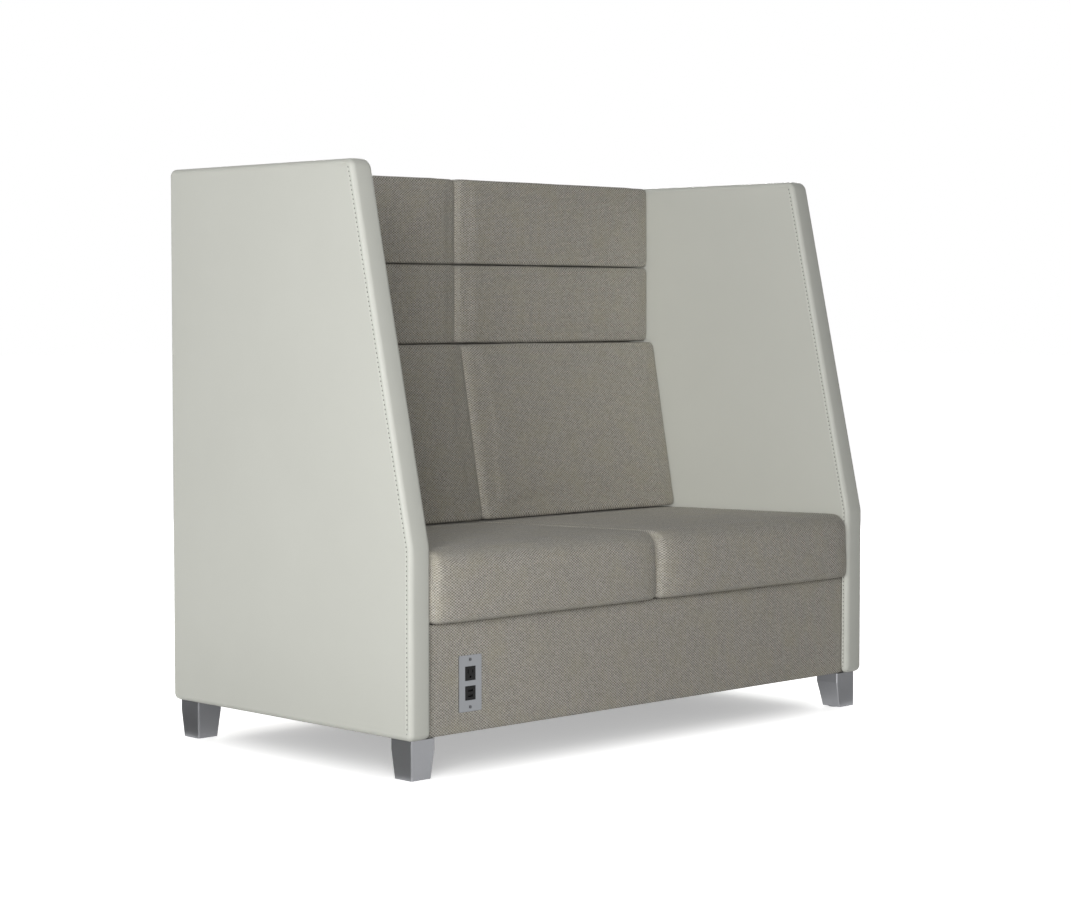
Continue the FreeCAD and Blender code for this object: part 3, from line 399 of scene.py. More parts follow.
# Moulded: a plain dark grey behind the plate
GREY_BOX = MouldedPlastic("pvc_grey", "55565a", 0.5)
# Moulded: black feet and zip teeth
NYLON = MouldedPlastic("nylon_black", "222222", 0.5)
# Sawn and sanded: the warm tone of the bare frame
PLYWOOD = SawnPly("birch_plywood", "cfb288", 0.6)
# Bonded: a matt black under the base and over the springs
BLACK_CLOTH = FeltedCloth("spunbond_black", "1b1b1b", 0.95)
# Woven with hooks: black with a rough, dotted face
HOOK_TAPE = FeltedCloth("hook_tape_nylon", "252523", 0.8, point=1.6, light="4a4a46")
# Pressed card: an even mid grey, and a pale one, for the metal to show
GREY_CARD = FeltedCloth("card_grey", "8c8c8c", 0.95, light="929292")
PALE_CARD = FeltedCloth("card_pale", "e4e4e4", 0.95, light="e8e8e8")
# Spun: stitches a few tones darker than the vinyl, partly the thread's grey and partly painted shade of
# the needle holes
VINYL_THREAD_AND_HOLE_SHADE = FeltedCloth("polyester_thread_grey", "62625d", 0.7, point=1.2, light="74746e")
# Spun: stitches in the colour of the tweed
TWEED_THREAD = FeltedCloth("polyester_thread_taupe", "8d8678", 0.8, point=1.2, light="b9b1a1")


# Meshes


def make_object(name: str, points: np.ndarray, faces: list,
                weave: np.ndarray | None = None) -> bpy.types.Object:
    """Makes a smooth mesh object in the scene.

    Args:
        name: the piece's name.
        points: vertex places in millimetres.
        faces: vertex numbers of each face.
        weave: the cut of the cloth in metres, one place for each corner of each face.

    Returns:
        The object, at the origin.
    """
    mesh = bpy.data.meshes.new(name)
    mesh.from_pydata((np.asarray(points) * MM).tolist(), [], faces)
    if weave is not None:
        layer = mesh.uv_layers.new(name=WEAVE_MAP)
        layer.data.foreach_set("uv", np.asarray(weave, np.float32).ravel())
    mesh.polygons.foreach_set("use_smooth", np.ones(len(mesh.polygons), bool))
    mesh.update()
    made = bpy.data.objects.new(name, mesh)
    bpy.context.scene.collection.objects.link(made)
    return made


def close_mesh(piece: bpy.types.Object) -> None:
    """Merges double points and turns every face outwards."""
    work = bmesh.new()
    work.from_mesh(piece.data)
    bmesh.ops.remove_doubles(work, verts=work.verts, dist=MERGE)
    bmesh.ops.recalc_face_normals(work, faces=work.faces)
    work.to_mesh(piece.data)
    work.free()
    piece.data.update()


def grid_cells(rows: int, columns: int) -> np.ndarray:
    """The corners of each cell in a grid of points that are numbered row by row."""
    number = np.arange(rows * columns).reshape(rows, columns)
    return np.stack([number[:-1, :-1], number[:-1, 1:], number[1:, 1:], number[1:, :-1]], -1)


def tube_faces(rings: int, count: int) -> list[list[int]]:
    """Joins rings of points into a tube, and closes its ends.

    Args:
        rings: the number of rings.
        count: the points in each ring.

    Returns:
        The faces of the tube.
    """
    number = np.arange(rings * count).reshape(rings, count)
    ahead = np.roll(number, -1, axis=1)
    faces = np.stack([number[:-1], ahead[:-1], ahead[1:], number[1:]], -1).reshape(-1, 4).tolist()
    return faces + [number[0].tolist(), number[-1][::-1].tolist()]


def slab_faces(cells: np.ndarray, shift: int) -> list[list[int]]:
    """Makes a slab of one side's cells, the same cells on the other side, and the walls round them.

    Args:
        cells: the corners of each cell on the first side.
        shift: how much later the other side's points are numbered.

    Returns:
        The faces of the slab.
    """
    quads = cells.tolist()
    edges = dict.fromkeys(edge for quad in quads for edge in zip(quad, quad[1:] + quad[:1]))
    walls = [[b, a, a + shift, b + shift] for a, b in edges if (b, a) not in edges]
    return quads + (cells[:, ::-1] + shift).tolist() + walls


def shade_seams(piece: bpy.types.Object, shades: np.ndarray) -> None:
    """Stores how much painted shade each point on a seam gets, from 0 to 1, for the material."""
    layer = piece.data.attributes.new(SEAM_SHADE, "FLOAT", "POINT")
    layer.data.foreach_set("value", np.asarray(shades, np.float32))


def bake(piece: bpy.types.Object, name: str) -> bpy.types.Object:
    """Replaces an object by a plain mesh of what its modifiers give.

    Args:
        piece: the object with modifiers, which is removed.
        name: the new piece's name.

    Returns:
        The plain object.
    """
    shown = piece.evaluated_get(bpy.context.evaluated_depsgraph_get())
    mesh = bpy.data.meshes.new_from_object(shown)
    bpy.data.objects.remove(piece)
    mesh.name = name
    made = bpy.data.objects.new(name, mesh)
    bpy.context.scene.collection.objects.link(made)
    return made


def paint(piece: bpy.types.Object, finish: Finish) -> None:
    """Gives a piece one finish all over."""
    piece.data.materials.clear()
    piece.data.materials.append(finish.material())


def settle(piece: bpy.types.Object, body: str, stands_for: tuple[str, ...] = ()) -> None:
    """Tells the frame what a finished piece is.

    Args:
        piece: the finished piece.
        body: the body that it moves with.
        stands_for: the nodes that it replaces.
    """
    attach(piece, body)
    if stands_for:
        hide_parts(*stands_for)
    log.info("%s: %d faces on %s", piece.name, len(piece.data.polygons), body)


def rounded_outline(corners: list[tuple[float, float, float]], step: float = 1.5) -> np.ndarray:
    """Rounds a closed polygon's corners.

    Args:
        corners: two coordinates and a radius for each corner, in order.
        step: the spacing of points on the arcs.

    Returns:
        Points round the outline, in order.
    """
    points = []
    count = len(corners)
    for index, (a, b, radius) in enumerate(corners):
        here = np.array([a, b])
        before = np.array(corners[index - 1][:2]) - here
        after = np.array(corners[(index + 1) % count][:2]) - here
        before /= np.linalg.norm(before)
        after /= np.linalg.norm(after)
        half = math.acos(np.clip(before @ after, -1, 1)) / 2
        middle = before + after
        centre = here + middle / np.linalg.norm(middle) * radius / math.sin(half)
        start = here + before * radius / math.tan(half) - centre
        end = here + after * radius / math.tan(half) - centre
        first = math.atan2(start[1], start[0])
        turn = (math.atan2(end[1], end[0]) - first + math.pi) % math.tau - math.pi
        for share in np.linspace(0, 1, max(4, round(abs(turn) * radius / step))):
            angle = first + share * turn
            points.append(centre + radius * np.array([math.cos(angle), math.sin(angle)]))
    return np.array(points)


def distance_to(points: np.ndarray, path: np.ndarray) -> tuple[np.ndarray, np.ndarray]:
    """Measures from points to a closed path.

    Args:
        points: places in two coordinates.
        path: the path's points, in order.

    Returns:
        The distance of each point, and how far along the path its nearest place is.
    """
    ends = np.roll(path, -1, axis=0)
    runs = ends - path
    lengths = np.linalg.norm(runs, axis=1)
    starts = np.concatenate([[0], np.cumsum(lengths)[:-1]])
    found = np.empty(len(points))
    along = np.empty(len(points))
    for first in range(0, len(points), BLOCK):
        block = points[first:first + BLOCK, None, :] - path[None]
        share = np.clip((block * runs).sum(-1) / np.maximum(lengths ** 2, 1e-12), 0, 1)
        gap = np.linalg.norm(block - share[..., None] * runs, axis=-1)
        best = gap.argmin(1)
        rows = np.arange(len(best))
        found[first:first + BLOCK] = gap[rows, best]
        along[first:first + BLOCK] = starts[best] + share[rows, best] * lengths[best]
    return found, along


def dip(distance: np.ndarray, width: float) -> np.ndarray:
    """The cross-section of a seam: 1 at the seam, falling to 0 beside it."""
    return np.exp(-(distance / width) ** 2)


def round_over(gap: np.ndarray, radius: float) -> np.ndarray:
    """How far a rounded edge falls back, at a gap from it."""
    left = radius - np.minimum(gap, radius)
    return radius - np.sqrt(np.maximum(radius ** 2 - left ** 2, 0))


def soft_limit(values: np.ndarray, limit: np.ndarray | float, blend: float) -> np.ndarray:
    """Keeps values under a limit without a sharp edge.

    Args:
        values: what is held back.
        limit: the highest value.
        blend: how early the limit is felt.

    Returns:
        The limited values.
    """
    return limit - blend * np.logaddexp(0, (limit - values) / blend)


# Repeated forms along paths


@dataclass(frozen=True)
class PathRow:
    """A Geometry Nodes row of one small form along open paths."""

    form: Form
    spacing: float
    length: float
    width: float
    height: float

    def tree(self) -> bpy.types.NodeTree:
        """Builds the tree: paths to points, one form on each, made real, with its material.

        Returns:
            The node tree, with named inputs for its sizes.
        """
        tree = bpy.data.node_groups.new(f"{self.form.value}_row", "GeometryNodeTree")
        face = tree.interface
        face.new_socket("Paths", in_out="INPUT", socket_type="NodeSocketGeometry")
        face.new_socket("Spacing", in_out="INPUT", socket_type="NodeSocketFloat")
        face.new_socket("Size", in_out="INPUT", socket_type="NodeSocketVector")
        face.new_socket("Finish", in_out="INPUT", socket_type="NodeSocketMaterial")
        face.new_socket("Row", in_out="OUTPUT", socket_type="NodeSocketGeometry")
        given = add(tree, "NodeGroupInput").outputs
        curve = add(tree, "GeometryNodeMeshToCurve", {"Mesh": given["Paths"]}).outputs["Curve"]
        upright = add(tree, "GeometryNodeSetCurveNormal", {"Curve": curve}, mode="Z_UP").outputs["Curve"]
        places = add(tree, "GeometryNodeCurveToPoints", {"Curve": upright, "Length": given["Spacing"]},
                     mode="LENGTH").outputs
        if self.form is Form.STITCH:
            unit = add(tree, "GeometryNodeMeshUVSphere", {"Segments": 8, "Rings": 6, "Radius": 0.5})
        else:
            unit = add(tree, "GeometryNodeMeshCube", {"Size": (1.0, 1.0, 1.0)})
        sized = add(tree, "GeometryNodeTransform", {"Geometry": unit.outputs["Mesh"],
                                                    "Scale": given["Size"]}).outputs["Geometry"]
        placed = add(tree, "GeometryNodeInstanceOnPoints", {
            "Points": places["Points"], "Instance": sized,
            "Rotation": places["Rotation"]}).outputs["Instances"]
        real = add(tree, "GeometryNodeRealizeInstances", {"Geometry": placed}).outputs["Geometry"]
        dressed = add(tree, "GeometryNodeSetMaterial", {"Geometry": real,
                                                        "Material": given["Finish"]}).outputs["Geometry"]
        add(tree, "NodeGroupOutput", {"Row": dressed})
        return tree

    def lay(self, name: str, paths: list[np.ndarray], finish: Finish) -> bpy.types.Object:
        """Lays the row along paths.

        Args:
            name: the new piece's name.
            paths: points in millimetres along each path.
            finish: the material of the row.

        Returns:
            A plain mesh of the whole row.
        """
        points = np.concatenate(paths)
        edges = []
        start = 0
        for path in paths:
            edges += [(start + step, start + step + 1) for step in range(len(path) - 1)]
            start += len(path)
        mesh = bpy.data.meshes.new(f"{name}_path")
        mesh.from_pydata((points * MM).tolist(), edges, [])
        guide = bpy.data.objects.new(f"{name}_path", mesh)
        bpy.context.scene.collection.objects.link(guide)
        tree = self.tree()
        modifier = guide.modifiers.new("row", "NODES")
        modifier.node_group = tree
        sizes = {"Spacing": self.spacing * MM, "Finish": finish.material(),
                 "Size": (self.width * MM, self.height * MM, self.length * MM)}
        for socket in tree.interface.items_tree:
            if socket.name in sizes:
                modifier[socket.identifier] = sizes[socket.name]
        return bake(guide, name)


# Sub-assemblies


@dataclass
class Wing:
    """A side wing: board and foam in a boxed vinyl cover, with a topstitched front edge."""

    side: Side
    inner: float = 655.0
    outer: float = 711.0
    front: float = -391.0
    rear: float = 399.0
    bottom: float = 83.0
    top: float = 1241.0
    kink: float = 466.0
    setback: float = 177.0
    edge_radius: float = 12.0
    corner_radius: float = 15.0
    kink_radius: float = 40.0
    nose_radius: float = 24.0
    seam_inset: float = 12.0
    seam_width: float = 1.1
    seam_depth: float = 0.9
    seam_tone: float = 0.06
    seam_reach: float = 40.0
    seam_foot: float = 20.0
    stitch: PathRow = PathRow(Form.STITCH, 9.5, 3.6, 2.4, 2.2)
    stitch_stand: float = 0.35
    stitch_foot: float = 16.0
    pucker_width: float = 4.0
    pucker_depth: float = 0.45
    roll_height: float = 0.5
    outer_roll: tuple[float, float] = (5.0, 3.0)
    inner_roll: tuple[float, float] = (6.0, 4.0)
    inner_share: float = 0.7
    crown: float = 1.5
    crown_start: float = 14.0
    crown_reach: float = 60.0
    band_bulge: float = 0.8
    socket_depth: float = 12.5
    apron_plane: float = -375.0
    board_front: float = 366.0
    board_rear: float = 388.0
    board_top: float = 1230.0
    base_top: float = 310.0
    row_step: float = 2.7
    step_half: float = 0.05
    middle_columns: int = 14
    path_step: float = 4.0
    band_steps: int = 6

    def outline(self) -> np.ndarray:
        """The wing's rounded side view, front edge first, from the bottom up."""
        return rounded_outline([
            (self.front, self.bottom, self.corner_radius), (self.front, self.kink, self.kink_radius),
            (self.front + self.setback, self.top, self.nose_radius),
            (self.rear, self.top, self.corner_radius), (self.rear, self.bottom, self.corner_radius)])

    def stations(self, low: float, high: float, marks: tuple[float, ...]) -> np.ndarray:
        """Rows of the face: close at both edges and at the marks, even between.

        Args:
            low: the first row.
            high: the last row.
            marks: places where the face steps.

        Returns:
            The rows, in order.
        """
        near = np.array([0.0, 0.3, 1.0, 2.1, 3.6, 5.4, 7.4, 9.4, 10.6, 11.5, 12.0, 12.5, 13.4, 15.0])
        rows = [low + near, high - near]
        rows.append(np.arange(low + near[-1] + self.row_step, high - near[-1], self.row_step))
        rows += [np.array([mark - self.step_half, mark + self.step_half]) for mark in marks]
        every = np.unique(np.concatenate(rows).round(4))
        apart = np.concatenate([[True], np.diff(every) > 0.8 * self.step_half])
        return every[apart]

    def columns(self, start: np.ndarray, end: np.ndarray) -> np.ndarray:
        """Spreads the columns of each row between its front and rear ends.

        Args:
            start: the front end of each row.
            end: the rear end of each row.

        Returns:
            A grid of places, a row for each pair of ends.
        """
        lead = np.array([0.0, 0.3, 1.0, 2.1, 3.6, 5.4, 7.4, 9.2, 10.3, 11.1, 11.6, 12.0, 12.4, 12.9,
                         13.7, 15.0, 15.95, 16.05, 19.0, 25.0, 36.0, 55.0])
        tail = np.array([0.0, 0.3, 1.0, 2.1, 3.6, 5.4, 7.4, 9.2, 10.95, 11.05, 11.6, 12.0, 12.5, 13.5,
                         16.0, 22.0, 32.95, 33.05, 42.0, 58.0])
        first = start[:, None] + lead[None]
        last = end[:, None] - tail[None, ::-1]
        share = np.linspace(0, 1, self.middle_columns)[None, 1:-1]
        middle = first[:, -1:] * (1 - share) + last[:, :1] * share
        return np.concatenate([first, middle, last], axis=1)

    def face(self, places: np.ndarray, inward: bool) -> tuple[np.ndarray, np.ndarray]:
        """Works out how far a face stands from the wing's middle plane.

        Args:
            places: depth and height of each point.
            inward: whether it is the face towards the seat.

        Returns:
            The stand-off of each point, and its seam shade.
        """
        away, along = distance_to(places, self.outline())
        half = (self.outer - self.inner) / 2
        from_seam = away - self.seam_inset
        on_front = ((places[:, 0] < self.front + self.setback + self.seam_reach)
                    & (places[:, 1] > self.bottom + self.seam_foot))
        seam = np.where(on_front, dip(from_seam, self.seam_width), 0.0)
        ripple = 0.5 + 0.5 * np.cos(math.tau * along / self.stitch.spacing)
        pucker = np.where(on_front, ripple * dip(from_seam, self.pucker_width), 0.0)
        # The filling rolls up beside the seam, more on its outer side
        beyond, before = self.outer_roll, self.inner_roll
        roll = np.where(on_front, dip(from_seam + beyond[0], beyond[1])
                        + self.inner_share * dip(from_seam - before[0], before[1]), 0.0)
        stand = half - round_over(away, self.edge_radius)
        stand += self.roll_height * roll - self.seam_depth * seam - self.pucker_depth * pucker
        if inward:
            low = (places[:, 1] < self.base_top) & (places[:, 0] > self.apron_plane)
            base = low & (places[:, 0] < self.board_front)
            board = (places[:, 0] > self.board_front) & (places[:, 0] < self.board_rear)
            stand = np.where(base | (board & (places[:, 1] < self.board_top)),
                             half - self.socket_depth, stand)
        else:
            stand += self.crown * (1 - np.exp(-np.maximum(away - self.crown_start, 0) / self.crown_reach))
        # The seam gets painted shade, darkest in its groove
        return stand, self.seam_tone * seam

    def build(self) -> bpy.types.Object:
        """Builds the cover: two faces as height fields, joined by the boxing band.

        Returns:
            The wing, closed.
        """
        path = self.outline()
        chain = path[:, 0] < (self.front + self.rear) / 2
        lead = path[chain][np.argsort(path[chain][:, 1], kind="stable")]
        tail = path[~chain][np.argsort(path[~chain][:, 1], kind="stable")]
        heights = self.stations(self.bottom, self.top, (self.base_top, self.board_top))
        depths = self.columns(np.interp(heights, lead[:, 1], lead[:, 0]),
                              np.interp(heights, tail[:, 1], tail[:, 0]))
        rows, columns = depths.shape
        places = np.stack([depths, np.repeat(heights[:, None], columns, 1)], -1).reshape(-1, 2)
        centre = (self.outer + self.inner) / 2
        points, shades, faces = [], [], []
        for sign, inward in ((1, False), (-1, True)):
            stand, shade = self.face(places, inward)
            base = sum(len(block) for block in points)
            points.append(np.column_stack([centre + sign * stand, places]))
            shades.append(shade)
            faces += (base + grid_cells(rows, columns)).reshape(-1, 4).tolist()
        number = np.arange(rows * columns).reshape(rows, columns)
        rim = np.concatenate([number[0], number[1:, -1], number[-1, -2::-1], number[-2:0:-1, 0]])
        outer_rim = points[0][rim]
        inner_rim = points[1][rim]
        loops = [rim]
        start = 2 * rows * columns
        middle = outer_rim[:, 1:].mean(0)
        outwards = outer_rim[:, 1:] - middle
        outwards /= np.linalg.norm(outwards, axis=1)[:, None]
        for step in range(1, self.band_steps):
            share = step / self.band_steps
            ring = outer_rim * (1 - share) + inner_rim * share
            ring[:, 1:] += outwards * self.band_bulge * math.sin(math.pi * share)
            points.append(ring)
            shades.append(np.zeros(len(rim)))
            loops.append(start + np.arange(len(rim)))
            start += len(rim)
        loops.append(rim + rows * columns)
        for here, there in zip(loops, loops[1:]):
            faces += np.stack([here, np.roll(here, -1), np.roll(there, -1), there], -1).tolist()
        every = np.concatenate(points)
        every[:, 0] *= self.side.value
        piece = make_object(f"{self.side.label}_wing_vinyl", every, faces)
        shade_seams(piece, np.concatenate(shades))
        close_mesh(piece)
        return piece

    def stitch_paths(self) -> list[np.ndarray]:
        """The topstitching's lines up the front edge, on the outer and the inner face."""
        path = self.outline()
        tangent = np.roll(path, -1, axis=0) - np.roll(path, 1, axis=0)
        tangent /= np.linalg.norm(tangent, axis=1)[:, None]
        inset = path + np.column_stack([tangent[:, 1], -tangent[:, 0]]) * self.seam_inset
        limit = self.front + self.setback + self.seam_reach
        front = inset[(path[:, 0] < limit) & (path[:, 1] > self.bottom + self.stitch_foot / 2)]
        front = front[np.argsort(front[:, 1], kind="stable")]
        even = np.arange(self.bottom + self.stitch_foot, self.top - self.seam_inset - self.path_step,
                         self.path_step)
        line = np.column_stack([np.interp(even, front[:, 1], front[:, 0]), even])
        centre = (self.outer + self.inner) / 2
        half = (self.outer - self.inner) / 2 - self.seam_depth + self.stitch_stand
        return [np.column_stack([np.full(len(line), self.side.value * (centre + sign * half)), line])
                for sign in (1, -1)]

    def dress(self) -> None:
        """Builds the wing and its stitching, and hands both to the frame."""
        piece = self.build()
        paint(piece, VINYL)
        settle(piece, FRAME_BODY,
               (f"{self.side.label}_wing_cover", f"{self.side.label}_wing_foam"))
        stitches = self.stitch.lay(f"{self.side.label}_wing_topstitch", self.stitch_paths(), VINYL_THREAD_AND_HOLE_SHADE)
        settle(stitches, FRAME_BODY)


@dataclass
class BackPanel:
    """The rear of the back: thin foam under vinyl, turned over the top edge."""

    half_width: float = 654.5
    rear: float = 396.0
    inside: float = 388.2
    front: float = 366.2
    bottom: float = 83.0
    top: float = 1239.4
    under_top: float = 1230.2
    corner: float = 6.0
    crown: float = 2.0
    crown_reach: float = 45.0
    seam_inset: float = 16.0
    top_seam_drop: float = 18.0
    seam_width: float = 1.5
    top_seam_width: float = 1.6
    seam_depth: float = 1.2
    seam_tone: float = 0.5
    side_fall: float = 3.0
    side_reach: float = 5.0
    rise_step: float = 9.0
    arc_points: int = 7
    over_points: int = 6
    even_half: float = 600.0
    even_columns: int = 90
    stitch: PathRow = PathRow(Form.STITCH, 8.0, 5.2, 1.5, 1.5)
    stitch_stand: float = 0.2
    stitch_margin: float = 4.0

    def section(self) -> tuple[np.ndarray, np.ndarray]:
        """The wrap's cross-section.

        Returns:
            Depth and height round the closed section, and which points are on the outside.
        """
        fine = self.top - self.top_seam_drop + np.array([-6, -4, -2.5, -1.2, 0, 1.2, 2.5, 4])
        rise = np.arange(self.bottom, fine[0] - 2, self.rise_step)
        turn = np.linspace(0, math.pi / 2, self.arc_points)
        arc = np.column_stack([self.rear - self.corner + self.corner * np.cos(turn),
                               self.top - self.corner + self.corner * np.sin(turn)])
        over = np.linspace(self.rear - self.corner - 2, self.front, self.over_points)
        outside = np.concatenate([
            np.column_stack([np.full(len(rise), self.rear), rise]),
            np.column_stack([np.full(len(fine), self.rear), fine]), arc,
            np.column_stack([over, np.full(len(over), self.top)])])
        inner = np.array([[self.front, self.under_top], [self.inside, self.under_top],
                          [self.inside, self.bottom]])
        return np.concatenate([outside, inner]), np.arange(len(outside) + len(inner)) < len(outside)

    def build(self) -> bpy.types.Object:
        """Sweeps the section across, crowned on the outside and pulled in at its seams.

        Returns:
            The back panel, closed.
        """
        section, outside = self.section()
        near = np.array([0, 0.4, 1.2, 2.5, 4.5, 8, 12, 13.8, 15, 16, 17, 18.2, 20, 26, 40])
        even = np.linspace(-self.even_half, self.even_half, self.even_columns)
        across = np.concatenate([-self.half_width + near, even, self.half_width - near[::-1]])
        points, shades = [], []
        for x in across:
            side = self.half_width - abs(x)
            edge = np.minimum(side, np.minimum(section[:, 1] - self.bottom, self.top - section[:, 1]))
            swell = self.crown * (1 - np.exp(-np.maximum(edge, 0) / self.crown_reach))
            seam = np.maximum(dip(side - self.seam_inset, self.seam_width),
                              dip(self.top - self.top_seam_drop - section[:, 1], self.top_seam_width))
            inset = self.side_fall * (1 - min(side / self.side_reach, 1)) ** 2
            move = np.where(outside, swell - self.seam_depth * seam - inset, 0)
            flat = section[:, 0] > self.rear - 1
            points.append(np.column_stack([np.full(len(section), x), section[:, 0] + move * flat,
                                           section[:, 1]]))
            # The seams get painted shade, darkest in their grooves
            shades.append(np.where(outside, self.seam_tone * seam, 0))
        faces = tube_faces(len(across), len(section))
        piece = make_object("back_panel_vinyl", np.concatenate(points), faces)
        shade_seams(piece, np.concatenate(shades))
        close_mesh(piece)
        return piece

    def dress(self) -> None:
        """Builds the panel and its topstitching."""
        piece = self.build()
        paint(piece, VINYL)
        settle(piece, FRAME_BODY, ("back_cover", "back_foam"))
        stand = self.rear + self.stitch_stand
        reach = self.half_width - self.seam_inset
        high = self.top - self.top_seam_drop
        step = self.stitch.spacing
        up = np.arange(self.bottom + 2 * self.stitch_margin, high - self.stitch_margin, step)
        along = np.arange(-reach, reach, step)
        paths = [np.column_stack([np.full(len(up), sign * reach), np.full(len(up), stand), up])
                 for sign in (-1, 1)]
        paths.append(np.column_stack([along, np.full(len(along), stand), np.full(len(along), high)]))
        stitches = self.stitch.lay("back_panel_topstitch", paths, VINYL_THREAD_AND_HOLE_SHADE)
        settle(stitches, FRAME_BODY)


@dataclass
class Apron:
    """The padded tweed strip below the seats, with a window for the power box."""

    half_width: float = 666.5
    visible_half: float = 655.0
    front: float = -375.0
    back: float = -369.1
    bottom: float = 83.0
    top: float = 310.0
    lip_radius: float = 5.0
    end_fall: float = 2.0
    end_width: float = 3.5
    thinnest: float = 0.4
    crown: float = 1.6
    crown_reach: float = 30.0
    cell: float = 8.0
    window_x: float = -538.0
    window_z: float = 183.0
    window_half_width: float = 22.0
    window_half_height: float = 54.4
    plate_half_width: float = 31.0
    plate_half_height: float = 57.5
    press: float = 46.0

    def build(self) -> bpy.types.Object:
        """Builds the strip as a crowned front face, a flat back and the walls between.

        Returns:
            The apron, closed.
        """
        near = np.array([0, 0.3, 1.0, 2.2, 4.0, 6.0, 9.0, 14.0])
        window = self.window_x + np.array([-1, 1]) * self.window_half_width
        across = np.unique(np.concatenate([
            -self.visible_half + near, self.visible_half - near, window,
            [-self.half_width, self.half_width],
            np.arange(-self.visible_half + 19, self.visible_half - 18, self.cell)]).round(3))
        low = np.array([0, 0.3, 1.0, 2.0, 3.4, 5.0, 8.0])
        pane = self.window_z + np.array([-1, 1]) * self.window_half_height
        up = np.unique(np.concatenate([self.bottom + low, self.top - low, pane,
                                       np.arange(self.bottom + 14, self.top - 12, self.cell)]).round(3))
        grid_x, grid_z = np.meshgrid(across, up)
        side = np.maximum(self.visible_half - np.abs(grid_x), 0)
        level = np.minimum(grid_z - self.bottom, self.top - grid_z)
        depth = self.back - self.front
        drop = self.end_fall * np.exp(-side / self.end_width) + round_over(level, self.lip_radius)
        swell = self.crown * (1 - np.exp(-np.minimum(side, level) / self.crown_reach))
        beside = np.hypot(np.maximum(np.abs(grid_x - self.window_x) - self.plate_half_width, 0),
                          np.maximum(np.abs(grid_z - self.window_z) - self.plate_half_height, 0))
        swell = swell * (1 - np.exp(-(beside / self.press) ** 2))
        face = self.front - swell + np.minimum(drop, depth - self.thinnest)
        flat = np.column_stack([grid_x.ravel(), face.ravel(), grid_z.ravel()])
        rear = np.column_stack([grid_x.ravel(), np.full(grid_x.size, self.back), grid_z.ravel()])
        hole = ((np.abs((across[:-1] + across[1:]) / 2 - self.window_x) < self.window_half_width)[None]
                & (np.abs((up[:-1] + up[1:]) / 2 - self.window_z) < self.window_half_height)[:, None])
        faces = slab_faces(grid_cells(*grid_x.shape)[~hole], grid_x.size)
        points = np.concatenate([flat, rear])
        order = np.concatenate([np.array(face) for face in faces])
        weave = points[order][:, [0, 2]] * MM
        piece = make_object("apron_tweed", points, faces, weave)
        close_mesh(piece)
        return piece

    def dress(self) -> None:
        """Builds the apron and hands it to the frame."""
        piece = self.build()
        paint(piece, TWEED)
        settle(piece, FRAME_BODY, ("front_apron",))


